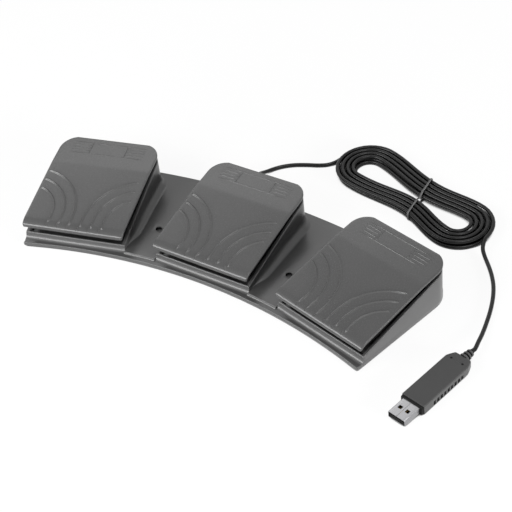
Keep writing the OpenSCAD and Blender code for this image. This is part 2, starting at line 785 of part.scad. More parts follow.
// Strain relief: a flange on each side of the wall and a ribbed taper
module gland_section() {
    start = shell_wall + gland_play;
    taper = gland_l - 1.2;
    end_r = cord_d / 2 + 0.7;
    translate([0, -gland_flange_t]) square([gland_flange_in, gland_flange_t]);
    square([gland_neck, start]);
    translate([0, start]) square([gland_flange_out, 1.2 - gland_play]);
    finish = shell_wall + gland_l;
    polygon([[0, start], [gland_neck - 0.5, start], [end_r - 0.4, finish], [0, finish]]);
    for (i = [0:gland_ribs - 1]) {
        y = shell_wall + 2.2 + i * (taper - 1) / gland_ribs;
        translate([0, y]) square([gland_neck - 0.1 - i * 0.3, 1.4]);
    }
}
module cable_gland() {
    color(BLACK) at_pedal(0) translate([gland_x, wall_in, gland_z]) rotate([-90, 0, 0])
        rotate_extrude() gland_section();
}

// Hank: one loop starts at its left end, runs along the far side, round the right end and back.
// Each loop keeps its offset from the innermost one, and both runs are drawn in at the waist.
function draw_in(u, r) = (r - hank_waist) * pow(cos(90 * u / (u < 0 ? hank_left_u : hank_right_u)), 2);
function run_r(u) = u < 0 ? hank_left_r : hank_right_r;
function end_point(u, r, a) = [u + r * cos(a), r * sin(a)];
function run_point(share, o) = let (u = hank_left_u + (hank_right_u - hank_left_u) * share)
    [u, run_r(u) + o - draw_in(u, run_r(u))];
function loop_point(f, o) =
    f < 1 / 8 ? end_point(hank_left_u, hank_left_r + o, 180 - 720 * f)
    : f < 3 / 8 ? run_point(4 * f - 1 / 2, o)
    : f < 5 / 8 ? end_point(hank_right_u, hank_right_r + o, 90 - 720 * (f - 3 / 8))
    : f < 7 / 8 ? let (q = run_point(7 / 2 - 4 * f, o)) [q[0], -q[1]]
    : end_point(hank_left_u, hank_left_r + o, 270 - 720 * (f - 7 / 8));
function hank_offset(t) = t < hank_in ? hank_wide - hank_pitch * t
    : t < hank_in + 0.5 ? 0 : hank_pitch * (t - hank_in - 0.5);
function hank_climb(t) = let (c = max(0, min(1, (t - hank_in) * 2))) c * c * (3 - 2 * c);
function lift_at(u) = abs(u) < waist_reach ? waist_lift * pow(cos(90 * u / waist_reach), 2) : 0;
function hank_local(t) = let (q = loop_point(t - floor(t), hank_offset(t)))
    [q[0], q[1], cord_d / 2 + hank_layer * hank_climb(t) + lift_at(q[0])];
function place(q) = [hank_x + q[0] * cos(hank_turn) - q[1] * sin(hank_turn),
    hank_y + q[0] * sin(hank_turn) + q[1] * cos(hank_turn), q[2]];
hank_count = round(hank_loops * hank_steps);
HANK = [for (i = [0:hank_count]) place(hank_local(hank_loops * i / hank_count))];
leave_turn = hank_turn + 720 * hank_early;
hank_way = [-sin(hank_turn), cos(hank_turn), 0];
leave_way = [sin(leave_turn), -cos(leave_turn), 0];
hank_first = HANK[0] - cord_d * hank_way;
hank_last = HANK[hank_count] + cord_d * leave_way;
HANK_TUBE = concat([hank_first], HANK, [hank_last]);
hank_reach = min([for (i = [0:hank_count]) for (j = [i + hank_steps / 2:hank_count]) norm(HANK[i] - HANK[j])]);
hank_gap = hank_reach - cord_d;
echo(hank_gap = hank_gap);
function length_of(p) = [for (i = [1:len(p) - 1]) norm(p[i] - p[i - 1])] * [for (i = [1:len(p) - 1]) 1];

// The plug's frame
function plug_point(y, z) = [plug_x - y * sin(plug_turn), plug_y + y * cos(plug_turn), z];
ROUTE_HANK = concat(TO_HANK, [hank_first - cord_d * hank_way, hank_first]);
ROUTE_PLUG = concat([hank_last, hank_last + cord_d * leave_way], TO_PLUG,
    [plug_point(plug_l + boot_l + cord_d, plug_t / 2), plug_point(plug_l + boot_l, plug_t / 2)]);
echo(cord_length = length_of(ROUTE_HANK) + length_of(HANK_TUBE) + length_of(ROUTE_PLUG));

module cord_to_hank() color(BLACK) tube(ROUTE_HANK, cord_d, 8);
module cord_hank() color(BLACK) tube(HANK_TUBE, cord_d, hank_sides);
module cord_to_plug() color(BLACK) tube(ROUTE_PLUG, cord_d, 8);

// Wire tie round the waist of the hank, slanted across it
module tie_outline(grow) {
    slant = cos(tie_turn - hank_turn);
    bundle = hank_waist + hank_wide + cord_d / 2;
    far = (bundle - hank_pitch / 4) / slant + tie_side_play + grow;
    near = (bundle - 3 * hank_pitch / 4) / slant + tie_side_play + grow;
    low = waist_lift - tie_play - grow;
    high = waist_lift + cord_d + hank_layer + tie_play + grow;
    r = 1 + grow;
    translate([r - near, low]) square([far + near - 2 * r, high - low]);
    translate([-near, low + r]) square([far + near, high - low - 2 * r]);
    for (y = [r - near, far - r], z = [low + r, high - r]) translate([y, z]) circle(r);
}
module hank_tie() {
    color(BLACK) translate([hank_x, hank_y, 0]) rotate(tie_turn) rotate([90, 0, 90])
        linear_extrude(tie_w, center = true) difference() {
            tie_outline(tie_t);
            tie_outline(0);
        }
}

module at_plug() {
    translate([plug_x, plug_y, 0]) rotate(plug_turn) children();
}
module plug_body() {
    edge = 0.8;
    half = plug_w / 2;
    color(PLUG_GREY) at_plug() difference() {
        intersection() {
            linear_extrude(plug_t) polygon([[-half, 0], [half, 0], [half, plug_l - plug_taper],
                [plug_rear_w / 2, plug_l], [-plug_rear_w / 2, plug_l], [-half, plug_l - plug_taper]]);
            across(plug_w) polygon([[0, 0], [plug_l, edge], [plug_l, plug_t - edge],
                [plug_l - plug_taper, plug_t], [0, plug_t]]);
            rotate([-90, 0, 0]) translate([0, -plug_t, 0]) linear_extrude(plug_l)
                polygon([[edge - half, 0], [half - edge, 0], [half, edge], [half, plug_t - edge],
                    [half - edge, plug_t], [edge - half, plug_t], [-half, plug_t - edge], [-half, edge]]);
        }
        for (s = SIDES, i = [0:notches - 1])
            translate([s * (half + notch_out), notch_start + i * notch_pitch, notch_low])
                cylinder(r = notch_r, h = notch_h);
        for (s = SIDES) translate([s * dot_x, plug_l - dot_in, plug_t - edge]) cylinder(r = dot_r, h = CUT);
    }
}
module plug_collar() {
    color(BLACK) at_plug() translate([-collar_w / 2, -collar_l, (plug_t - collar_t) / 2])
        cube([collar_w, collar_l, collar_t]);
}
module usb_shell() {
    color(STEEL) at_plug() translate([0, -collar_l - usb_l, plug_t / 2]) difference() {
        translate([-usb_w / 2, 0, -usb_t / 2]) cube([usb_w, usb_l, usb_t]);
        translate([-usb_w / 2 + usb_wall, -CUT, -usb_t / 2 + usb_wall])
            cube([usb_w - 2 * usb_wall, usb_l + CUT - 0.5, usb_t - 2 * usb_wall]);
        for (s = SIDES) translate([s * 2.6 - usb_hole / 2, 5.2, -usb_t]) cube([usb_hole, usb_hole, 2 * usb_t]);
    }
}
module usb_tongue() {
    play = 0.1;
    width = usb_w - 2 * usb_wall - 2 * play;
    color(BLACK) at_plug() translate([-width / 2, -collar_l - usb_l + tongue_in, tongue_z])
        cube([width, usb_l - 2 * tongue_in, tongue_t]);
}
module usb_contacts() {
    color(GOLD) at_plug() for (x = CONTACTS)
        translate([x - contact_w / 2, -collar_l - usb_l + 2 * tongue_in, tongue_z + tongue_t])
            cube([contact_w, contact_l, contact_t]);
}
module plug_boot() {
    small = cord_d / 2 + 0.5;
    color(PLUG_GREY) at_plug() translate([0, plug_l, plug_t / 2]) rotate([-90, 0, 0]) rotate_extrude() {
        polygon([[0, 0], [boot_r - 0.9, 0], [small - 0.3, boot_l], [0, boot_l]]);
        for (i = [0:boot_ribs - 1]) translate([0, i * boot_step]) square([boot_r - i * 0.4, 0.6 * boot_step]);
    }
}

top_shell();
bottom_plate();
rubber_feet();
base_screws();
at_pedal(-1) pedal();  // pedal_left
at_pedal(0) pedal();  // pedal_middle
at_pedal(1) pedal();  // pedal_right
at_pedal(-1) hinge_pins();  // hinge_pins_left
at_pedal(0) hinge_pins();  // hinge_pins_middle
at_pedal(1) hinge_pins();  // hinge_pins_right
at_pedal(-1) return_spring();  // return_spring_left
at_pedal(0) return_spring();  // return_spring_middle
at_pedal(1) return_spring();  // return_spring_right
at_pedal(-1) switch_body();  // switch_body_left
at_pedal(0) switch_body();  // switch_body_middle
at_pedal(1) switch_body();  // switch_body_right
at_pedal(-1) switch_lever();  // switch_lever_left
at_pedal(0) switch_lever();  // switch_lever_middle
at_pedal(1) switch_lever();  // switch_lever_right
at_pedal(-1) switch_plunger();  // switch_plunger_left
at_pedal(0) switch_plunger();  // switch_plunger_middle
at_pedal(1) switch_plunger();  // switch_plunger_right
switch_terminals();
board(-1, board_l);  // board_left
board(0, controller_l);  // controller_board
board(1, board_l);  // board_right
board_screws();
controller_chip();
ribbon(LEFT_LEAD);  // ribbon_left
ribbon(RIGHT_LEAD);  // ribbon_right
cable_tail();
cable_gland();
cord_to_hank();
cord_hank();
hank_tie();
cord_to_plug();
plug_boot();
plug_body();
plug_collar();
usb_shell();
usb_tongue();
usb_contacts();
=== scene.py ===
# %% [markdown]
# # A triple foot pedal switch
# Three hinged pedal caps stand in a fan on one arced base. A thin cord leaves the back, lies in a tied
# hank and ends in a flat plug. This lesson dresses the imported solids: the camera, the finishes and the cord
# come first, then the studio, the caps, the base, the plug, the tie and the springs. The object's lengths
# are written in millimetres, the way a maker would measure them, and turned into metres when a mesh is
# made. The studio and the textures are in metres.

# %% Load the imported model
import json
import math
import bmesh
import bpy
import numpy as np
from mathutils import Matrix, Vector


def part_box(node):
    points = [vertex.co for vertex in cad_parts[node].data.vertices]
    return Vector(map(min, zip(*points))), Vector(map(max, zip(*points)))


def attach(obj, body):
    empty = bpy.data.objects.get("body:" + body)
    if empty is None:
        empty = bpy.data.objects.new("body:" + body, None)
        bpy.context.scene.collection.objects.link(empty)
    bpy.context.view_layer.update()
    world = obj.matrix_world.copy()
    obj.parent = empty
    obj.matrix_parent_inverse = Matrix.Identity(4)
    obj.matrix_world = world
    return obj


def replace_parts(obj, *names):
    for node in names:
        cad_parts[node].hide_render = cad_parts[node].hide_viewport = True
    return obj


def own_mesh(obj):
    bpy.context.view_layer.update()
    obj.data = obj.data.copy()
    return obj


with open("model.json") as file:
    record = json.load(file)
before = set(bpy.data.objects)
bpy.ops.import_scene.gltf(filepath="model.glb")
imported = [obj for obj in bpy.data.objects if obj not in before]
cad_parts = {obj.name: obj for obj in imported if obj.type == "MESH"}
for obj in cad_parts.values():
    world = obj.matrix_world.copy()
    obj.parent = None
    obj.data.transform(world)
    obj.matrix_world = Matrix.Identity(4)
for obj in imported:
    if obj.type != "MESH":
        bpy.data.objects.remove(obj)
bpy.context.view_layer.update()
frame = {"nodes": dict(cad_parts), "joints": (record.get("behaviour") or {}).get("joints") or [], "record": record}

MM = 0.001
SIDES = ("left", "middle", "right")

# %% [markdown]
# ## Frames of the three pedals
# Each pedal has its own frame: the nose line on the floor is its origin, x runs across the pedal and y to
# the rear. The places could be typed in again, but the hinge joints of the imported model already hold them,
# so they are read from there and nothing is fitted by eye.

# %% Pedal frames from the hinge joints
PEDAL_W, PEDAL_D = 70.0, 78.2
HINGE_Y, HINGE_Z = 61.0, 18.0
JOINTS = {joint["name"]: joint for joint in frame["joints"]}


def pedal_frame(side):
    """Returns (origin, across): the nose point on the floor and the unit x axis of one pedal, in mm."""
    joint = JOINTS["press_" + side]
    across = np.array(joint["axis"][:2])
    rear = np.array([-across[1], across[0]])
    hinge = np.array(joint["pos_m"][:2]) / MM
    return hinge - HINGE_Y * rear, across


def to_world(points, side):
    """Turns points of a pedal's own frame into the part's frame: x times across plus y times rear."""
    origin, across = pedal_frame(side)
    points = np.asarray(points, float)
    x, y = points[..., 0], points[..., 1]
    world = points.copy()
    world[..., 0] = origin[0] + x * across[0] - y * across[1]
    world[..., 1] = origin[1] + x * across[1] + y * across[0]
    return world


NOSE_LINE = pedal_frame("middle")[0][1]
print("middle nose line at y =", round(NOSE_LINE, 2), "mm")

# %% [markdown]
# ## Camera
# The viewing angle was worked out from the photograph by fitting the outline of the base and the three
# caps. A camera could be aimed by a tracking constraint, but that leaves no room for a tilt. Here it is a
# point on a sphere round a target on the floor, turned a little about its own axis. The lens follows from
# the focal length in pixels and the sensor's width.

# %% Camera
CAMERA_AZIMUTH, CAMERA_ELEVATION, CAMERA_ROLL = 36.92, 42.0, -7.42
CAMERA_DISTANCE, CLIP_START = 855.6, 50.0
CAMERA_TARGET = np.array([18.6, 34.6 + NOSE_LINE, 0.0])
FOCAL_PIXELS, IMAGE_PIXELS, SENSOR = 1360.0, 512.0, 36.0


def aim_camera():
    """Puts the camera at target + back * distance, with its axes turned by the roll angle."""
    az, el, roll = np.radians([CAMERA_AZIMUTH, CAMERA_ELEVATION, CAMERA_ROLL])
    back = np.array([math.sin(az) * math.cos(el), -math.cos(az) * math.cos(el), math.sin(el)])
    right = np.cross(-back, [0.0, 0.0, 1.0])
    right /= np.linalg.norm(right)
    up = np.cross(right, -back)
    turned_right = math.cos(roll) * right + math.sin(roll) * up
    turned_up = math.cos(roll) * up - math.sin(roll) * right
    data = bpy.data.cameras.new("camera")
    data.sensor_width = SENSOR
    data.lens = FOCAL_PIXELS / IMAGE_PIXELS * SENSOR
    data.clip_start = CLIP_START * MM
    camera = bpy.data.objects.new("camera", data)
    axes = np.column_stack([turned_right, turned_up, back])
    place = Matrix(axes.tolist()).to_4x4()
    place.translation = Vector((CAMERA_TARGET + back * CAMERA_DISTANCE) * MM)
    camera.matrix_world = place
    bpy.context.scene.collection.objects.link(camera)
    bpy.context.scene.camera = camera
    return camera


camera = aim_camera()
print("camera at", [round(v, 3) for v in camera.matrix_world.translation])

# %% [markdown]
# ## Finishes
# Nearly everything here is moulded plastic. A moulded surface has a fine spark-eroded grain that breaks
# up the gloss, and its tone drifts slightly from place to place. A painted image could hold both, but noise
# on Object coordinates needs no unwrapping and stays with the piece when it moves. Numbers that are the
# same all over are set on the shader's own sockets.

# %% Texture helpers
RAMP_DARK, RAMP_LIGHT = 0.3, 0.7


def link(tree, start, end):
    """Joins two sockets."""
    tree.links.new(start, end)


def noise(tree, scale, detail, stretch=(1.0, 1.0, 1.0)):
    """A noise texture on Object coordinates, in features per metre; a small stretch value draws it out."""
    coords = tree.nodes.new("ShaderNodeTexCoord")
    mapping = tree.nodes.new("ShaderNodeMapping")
    mapping.inputs["Scale"].default_value = stretch
    texture = tree.nodes.new("ShaderNodeTexNoise")
    texture.inputs["Scale"].default_value = scale
    texture.inputs["Detail"].default_value = detail
    link(tree, coords.outputs["Object"], mapping.inputs["Vector"])
    link(tree, mapping.outputs["Vector"], texture.inputs["Vector"])
    return texture.outputs["Fac"]


def spread(tree, value, low, high):
    """Maps a texture value from 0..1 to low..high."""
    remap = tree.nodes.new("ShaderNodeMapRange")
    remap.inputs["To Min"].default_value = low
    remap.inputs["To Max"].default_value = high
    link(tree, value, remap.inputs["Value"])
    return remap.outputs["Result"]


def tint(tree, value, dark, light):
    """Blends two colours by a texture value."""
    ramp = tree.nodes.new("ShaderNodeValToRGB")
    ends = zip(ramp.color_ramp.elements, (RAMP_DARK, RAMP_LIGHT), (dark, light))
    for element, position, colour in ends:
        element.position = position
        element.color = (*colour, 1.0)
    link(tree, value, ramp.inputs["Fac"])
    return ramp.outputs["Color"]


print("tones are blended over noise values from", RAMP_DARK, "to", RAMP_LIGHT)

# %% Moulded plastic and plated metal
TONE_SCALE, TONE_DETAIL, TONE_DRIFT = 38.0, 3.0, 0.06
GRAIN_SCALE, GRAIN_DETAIL, GRAIN_DEPTH, GRAIN_STRENGTH = 2600.0, 2.0, 0.00004, 0.35
GRAIN_SMOOTHER, GRAIN_ROUGHER = 0.05, 0.07
STREAK_SCALE, STREAK_DETAIL, STREAK_STRETCH, STREAK_DARK = 900.0, 2.0, (1.0, 0.06, 1.0), 0.92
STREAK_SMOOTHER, STREAK_ROUGHER = 0.05, 0.08


def new_material(name):
    """A material with a plain Principled shader; returns it with its tree and shader."""
    material = bpy.data.materials.new(name)
    material.use_nodes = True
    return material, material.node_tree, material.node_tree.nodes["Principled BSDF"]


def moulded(name, colour, gloss, grain=GRAIN_SCALE, grain_depth=GRAIN_DEPTH, shine=0.3):
    """Moulded plastic: a drifting tone, a fine grain in the bump and a roughness that follows the grain.
    The colour is one grey value or three."""
    material, tree, shader = new_material(name)
    colour = np.broadcast_to(np.asarray(colour, float), 3)
    cloud = noise(tree, TONE_SCALE, TONE_DETAIL)
    tone = tint(tree, cloud, colour * (1 - TONE_DRIFT), colour * (1 + TONE_DRIFT))
    fine = noise(tree, grain, GRAIN_DETAIL)
    rough = spread(tree, fine, gloss - GRAIN_SMOOTHER, gloss + GRAIN_ROUGHER)
    bump = tree.nodes.new("ShaderNodeBump")
    bump.inputs["Strength"].default_value = GRAIN_STRENGTH
    bump.inputs["Distance"].default_value = grain_depth
    link(tree, fine, bump.inputs["Height"])
    link(tree, tone, shader.inputs["Base Color"])
    link(tree, rough, shader.inputs["Roughness"])
    link(tree, bump.outputs["Normal"], shader.inputs["Normal"])
    shader.inputs["Specular IOR Level"].default_value = shine
    return material


def metal(name, colour, gloss):
    """Plated metal: a long grain stretched along one axis drifts through the tone and the roughness."""
    material, tree, shader = new_material(name)
    colour = np.array(colour)
    streaks = noise(tree, STREAK_SCALE, STREAK_DETAIL, STREAK_STRETCH)
    rough = spread(tree, streaks, gloss - STREAK_SMOOTHER, gloss + STREAK_ROUGHER)
    link(tree, tint(tree, streaks, colour * STREAK_DARK, colour), shader.inputs["Base Color"])
    link(tree, rough, shader.inputs["Roughness"])
    shader.inputs["Metallic"].default_value = 1.0
    return material


print("grain of", GRAIN_SCALE, "features per metre, metal streaks of", STREAK_SCALE)

# %% [markdown]
# ### The finishes of this object
# The caps and the shell are satin dark grey, the plug is a plainer grey, and the cord is nearly black with
# a tight streak of light along it. What lies inside has the usual colours of such parts. Each finish is one
# call, so that a tone or a gloss can be set beside its neighbours.

# %% Plastics, rubber and metals
CAP_PLASTIC = moulded("satin_cap_plastic", 0.032, gloss=0.25, shine=0.65)
SHELL_PLASTIC = moulded("satin_shell_plastic", 0.044, gloss=0.3, shine=0.6)
PLUG_PLASTIC = moulded("plug_plastic", 0.036, gloss=0.38, grain=1800.0, grain_depth=0.00006)
# Dark plastic: the collar's real black, and also painted shade in recesses, grooves and under the caps.
DARK_PLASTIC_AND_SHADE = moulded("dark_plastic_and_painted_shade", 0.006, gloss=0.5, shine=0.1)
CORD_JACKET = moulded("cord_jacket", 0.003, gloss=0.28, grain=1400.0, grain_depth=0.00002, shine=0.26)
TIE_PLASTIC = moulded("tie_plastic", 0.09, gloss=0.4, shine=0.2)
FOOT_RUBBER = moulded("foot_rubber", 0.02, gloss=0.75, grain=900.0, grain_depth=0.0001)
BOARD_MASK = moulded("board_mask", (0.008, 0.04, 0.016), gloss=0.3)
RED_PLASTIC = moulded("red_plastic", (0.4, 0.02, 0.015), gloss=0.3)
PLATED_STEEL = metal("plated_steel", (0.38, 0.38, 0.39), gloss=0.34)
ZINC_STEEL = metal("zinc_steel", (0.5, 0.5, 0.52), gloss=0.35)
CONTACT_GOLD = metal("contact_gold", (0.75, 0.52, 0.18), gloss=0.25)
print("finishes:", len(bpy.data.materials))

# %% [markdown]
# ## Meshes from arrays
# A moulded part is a set of smooth surfaces that meet at edges. They could be modelled by hand or cut with
# booleans, but then a size can't be changed later. Here a surface is a grid of points: one parameter runs
# along the rows, the other along the columns. The faces of every grid follow the same rule, so one helper
# numbers them all at once.

# %% Faces of a grid


def grid_faces(rows, cols, closed=False):
    """Quads of a rows x cols grid of points; closed joins the last column to the first."""
    i = np.arange(rows - 1)[:, None]
    j = np.arange(cols if closed else cols - 1)[None, :]
    k = (j + 1) % cols
    quads = np.stack([i * cols + j, i * cols + k, (i + 1) * cols + k, (i + 1) * cols + j], -1)
    return quads.reshape(-1, 4)


print("a grid of 3 x 4 points has", len(grid_faces(3, 4)), "faces")

# %% [markdown]
# A piece is made of several grids and end faces. They could each be an object, but a moulding is one part,
# so they are stacked into one mesh. Where two grids meet their points are merged, and all faces are then
# pointed outwards together.

# %% Finish and place a mesh
MERGE = 0.004


def finish_mesh(mesh, sharp):
    """Merges doubled points, points the faces outwards and shades smooth up to an angle in degrees."""
    work = bmesh.new()
    work.from_mesh(mesh)
    bmesh.ops.remove_doubles(work, verts=work.verts, dist=MERGE * MM)
    bmesh.ops.recalc_face_normals(work, faces=work.faces)
    work.to_mesh(mesh)
    work.free()
    mesh.polygons.foreach_set("use_smooth", np.ones(len(mesh.polygons), bool))
    if sharp:
        mesh.set_sharp_from_angle(angle=math.radians(sharp))


def place_piece(piece, body, slot, *nodes):
    """Links a piece to the scene, ties it to its body and hides the solids it stands for; slot is not used."""
    bpy.context.scene.collection.objects.link(piece)
    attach(piece, body)
    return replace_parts(piece, *nodes)


print("points closer than", MERGE, "mm are merged")

# %% A stack of grids
MAIN, PAINTED_SHADE = 0, 1


class Stack:
    """Collects grids and end faces, in mm, for one mesh. The tone says which of the piece's finishes the
    faces that follow will have; the second tone is painted shade in recesses, grooves and hidden parts."""

    def __init__(self):
        self.points, self.faces, self.tones = [], [], []
        self.count, self.tone = 0, MAIN

    def add_faces(self, faces):
        """Adds a block of faces, one row of point numbers each, in the present tone."""
        self.faces.append(np.asarray(faces))
        self.tones.append(np.full(len(faces), self.tone, np.int32))

    def grid(self, points, closed=False, flip=False, keep=None):
        """Adds a rows x cols x 3 grid; flip turns its faces round, keep marks the faces that are made.
        Returns the number of its first point."""
        rows, cols = points.shape[:2]
        first = self.count
        quads = first + grid_faces(rows, cols, closed)
        if keep is not None:
            quads = quads[keep.ravel()]
        self.add_faces(quads[:, ::-1] if flip else quads)
        self.points.append(points.reshape(-1, 3))
        self.count += rows * cols
        return first

    def cap(self, first, size, flip=False):
        """Closes a ring of points that is already there with one flat face."""
        ring = np.arange(first, first + size)
        self.add_faces([ring[::-1] if flip else ring])

    def carry(self, place):
        """Carries all points with a function, such as the one from a pedal's frame to its place."""
        self.points = [place(points) for points in self.points]
        return self

    def join(self, other):
        """Adds another stack as it lies."""
        self.points += other.points
        self.faces += [block + self.count for block in other.faces]
        self.tones += other.tones
        self.count += other.count

    def piece(self, name, materials, body, slot, node, sharp=None):
        """Makes the object that stands for a node, with its finishes, and ties it to a body."""
        mesh = bpy.data.meshes.new(name)
        faces = [face for block in self.faces for face in block.tolist()]
        mesh.from_pydata((np.concatenate(self.points) * MM).tolist(), [], faces)
        mesh.polygons.foreach_set("material_index", np.concatenate(self.tones))
        finish_mesh(mesh, sharp)
        for material in materials:
            mesh.materials.append(material)
        print(name, len(mesh.polygons), "faces")
        return place_piece(bpy.data.objects.new(name, mesh), body, slot, node)


# The second tone is painted shade: faces laid dark where shade falls.
print("tones of a piece:", MAIN, "for its main finish and", PAINTED_SHADE, "for the dark one")

# %% [markdown]
# The same few figures come back in many pieces: arcs, full circles, a quarter turn over a rounded edge, and
# a side view carried across. Each is written once, for whole arrays. A bevel modifier would round edges too,
# but then their width can't follow the shape.

# %% Arcs, edges and prisms
QUARTER = np.radians(np.linspace(0, 90, 6))


def arc(start, end, count):
    """Cosines and sines of evenly spaced angles, in degrees."""
    angles = np.radians(np.linspace(start, end, count))
    return np.cos(angles), np.sin(angles)


def circle(count):
    """Cosines and sines of one full turn in equal steps."""
    c, s = arc(0, 360, count + 1)
    return c[:-1], s[:-1]


def arc_points(x, y, radius, start, end, count):
    """Points of an arc about (x, y): x plus radius times cosine, y plus radius times sine."""
    c, s = arc(start, end, count)
    return np.column_stack([x + radius * c, y + radius * s])


def ease(t):
    """Smooth step: 0 up to 0, 1 from 1 on, and 3 t^2 - 2 t^3 between."""
    t = np.clip(t, 0, 1)
    return t * t * (3 - 2 * t)


def unit(vectors):
    """Each row of vectors at length one."""
    return vectors / np.linalg.norm(vectors, axis=-1, keepdims=True)


def along_ring(ring):
    """The direction of a closed ring at each point: from the point before it to the point after it."""
    return np.roll(ring, -1, 0) - np.roll(ring, 1, 0)


def rounded_edge(ring, outward, normal, radius):
    """Loops over a rounded edge: at angle a the ring lies r sin a further out and r (1 - cos a) lower."""
    a = QUARTER[:, None, None]
    return ring + radius * (np.sin(a) * outward - (1 - np.cos(a)) * normal)


def add_prism(stack, outline, start, end):
    """A side view (distance from the nose, height) carried across the pedal, closed by flat ends."""
    ring = np.asarray(outline, float)
    x = np.full((len(ring), 1), start)
    points = np.stack([np.hstack([x, ring]), np.hstack([x * 0 + end, ring])])
    first = stack.grid(points, closed=True)
    stack.cap(first, len(ring))
    stack.cap(first + len(ring), len(ring), flip=True)


print("a rounded edge has", len(QUARTER), "loops")

# %% [markdown]
# ## The cord
# The cord is one length of soft jacketed lead, 2.6 mm thick. It leaves the strain relief behind the
# middle pedal, runs into a hank of eight and a half loops drawn in by a wire tie, and goes on to the plug.
# A simulation could lay it, but the photograph shows where it lies. So its free stretches follow listed
# points, and the hank follows a formula: each loop is two semicircles joined by runs that are
# pulled in at the waist, and the offset from the innermost loop first shrinks on the floor and then grows
# again one layer higher.

# %% Values of the route
CORD_D = 2.6
GLAND_LOW, GLAND_HIGH = (np.array(corner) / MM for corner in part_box("cable_gland"))
GLAND_X, GLAND_Z = (GLAND_LOW[0] + GLAND_HIGH[0]) / 2, (GLAND_LOW[2] + GLAND_HIGH[2]) / 2
GLAND_END = GLAND_HIGH[1]
TO_HANK = [[GLAND_X, GLAND_END, GLAND_Z], [GLAND_X, GLAND_END + 4, GLAND_Z], [-18.5, 69.5, 6.6],
           [-19, 74, 4.2], [-18, 79, 2.2], [-15.4, 84.6, 1.4], [-11, 89.6, 1.3], [-5, 94, 1.3],
           [2.5, 97.6, 1.3], [9.5, 100.4, 1.3], [14.9, 103.6, 1.3], [18.2, 107.8, 1.3]]
TO_PLUG = [[142.4, 74.6, 3.7], [143.9, 70.4, 2.9], [146.8, 66.4, 2], [150.4, 62.4, 1.4],
           [154.4, 57.6, 1.3], [158.6, 51.8, 1.3], [162.8, 44.6, 1.3], [166.6, 35.6, 1.3],
           [169.8, 25, 1.3], [172.2, 14, 1.4], [173.9, 5, 2], [174.9, -2, 2.8]]
HANK_CENTRE, HANK_TURN = np.array([88.0, 95.3]), math.radians(-18.0)
LEFT_R, RIGHT_R, LEFT_U, RIGHT_U = 9.0, 8.2, -47.0, 33.8
WAIST, PITCH, LAYER = 3.2, 3.5, 3.15
LOOPS_IN, LOOPS_OUT, EARLY = 4.0, 4.0, 0.02
WAIST_LIFT, WAIST_REACH = 0.8, 30.0
PLUG_POINT, PLUG_TURN = np.array([163.5, -61.5]), math.radians(-13.0)
PLUG_L, PLUG_T, BOOT_L, CORD_IN = 44.0, 6.6, 8.0, 4.0
HANK_STEPS, SPLINE_STEPS = 72, 4
print("points by hand:", len(TO_HANK), "to the hank and", len(TO_PLUG), "to the plug")

# %% Centre line of the hank


def hank_points(steps):
    """The hank's centre line. Parameter t counts loops, and w walks round one loop in eighths: half of the
    left end up to 1, the far run up to 3, the right end up to 5, the near run up to 7, then the left end."""
    loops = LOOPS_IN + 0.5 + LOOPS_OUT - EARLY
    t = np.linspace(0, loops, int(loops * steps) + 1)
    w = 8 * (t - np.floor(t))
    far_half = w < 4
    offset = np.where(t < LOOPS_IN, PITCH * (LOOPS_IN - t), PITCH * np.maximum(0, t - LOOPS_IN - 0.5))
    u = LEFT_U + (RIGHT_U - LEFT_U) * np.clip(np.where(far_half, w - 1, 7 - w) / 2, 0, 1)
    radius = np.where(u < 0, LEFT_R, RIGHT_R)
    pull = np.cos(np.pi / 2 * u / np.where(u < 0, LEFT_U, RIGHT_U)) ** 2
    v = np.where(far_half, 1, -1) * (radius + offset - (radius - WAIST) * pull)
    left_angle = np.radians(np.where(far_half, 180 - 90 * w, 270 - 90 * (w - 7)))
    right_angle = np.radians(90 - 90 * (w - 3))
    left_end = (w < 1) | (w >= 7), LEFT_U, LEFT_R, left_angle
    right_end = (w >= 3) & (w < 5), RIGHT_U, RIGHT_R, right_angle
    for here, centre, end_r, angle in (left_end, right_end):
        u = np.where(here, centre + (end_r + offset) * np.cos(angle), u)
        v = np.where(here, (end_r + offset) * np.sin(angle), v)
    lift = WAIST_LIFT * np.cos(np.pi / 2 * np.clip(u / WAIST_REACH, -1, 1)) ** 2
    z = CORD_D / 2 + LAYER * ease((t - LOOPS_IN) * 2) + lift
    x = HANK_CENTRE[0] + u * math.cos(HANK_TURN) - v * math.sin(HANK_TURN)
    y = HANK_CENTRE[1] + u * math.sin(HANK_TURN) + v * math.cos(HANK_TURN)
    return np.column_stack([x, y, z])


hank = hank_points(HANK_STEPS)
print("hank:", len(hank), "points, up to", hank[:, 2].max().round(1), "mm high")

# %% The whole centre line
LEAVE_TURN = HANK_TURN + 4 * math.pi * EARLY
ARRIVE = np.array([-math.sin(HANK_TURN), math.cos(HANK_TURN), 0.0])
LEAVE = np.array([math.sin(LEAVE_TURN), -math.cos(LEAVE_TURN), 0.0])


def plug_point(y, z):
    """A point on the plug's axis, y behind the front of its body."""
    return [PLUG_POINT[0] - y * math.sin(PLUG_TURN), PLUG_POINT[1] + y * math.cos(PLUG_TURN), z]


def rounded(points, steps):
    """Catmull-Rom spline: each stretch is a cubic whose end slopes are half the chord of its neighbours."""
    p = np.asarray(points, float)
    before = np.vstack([2 * p[0] - p[1], p[:-2]])
    after = np.vstack([p[2:], 2 * p[-1] - p[-2]])
    a, b = p[:-1], p[1:]
    t = (np.arange(steps) / steps)[None, :, None]
    slope_a, slope_b = (b - before)[:, None] / 2, (after - a)[:, None] / 2
    a, b = a[:, None], b[:, None]
    curve = ((2 * t ** 3 - 3 * t ** 2 + 1) * a + (t ** 3 - 2 * t ** 2 + t) * slope_a
             + (3 * t ** 2 - 2 * t ** 3) * b + (t ** 3 - t ** 2) * slope_b)
    return np.vstack([curve.reshape(-1, 3), p[-1:]])


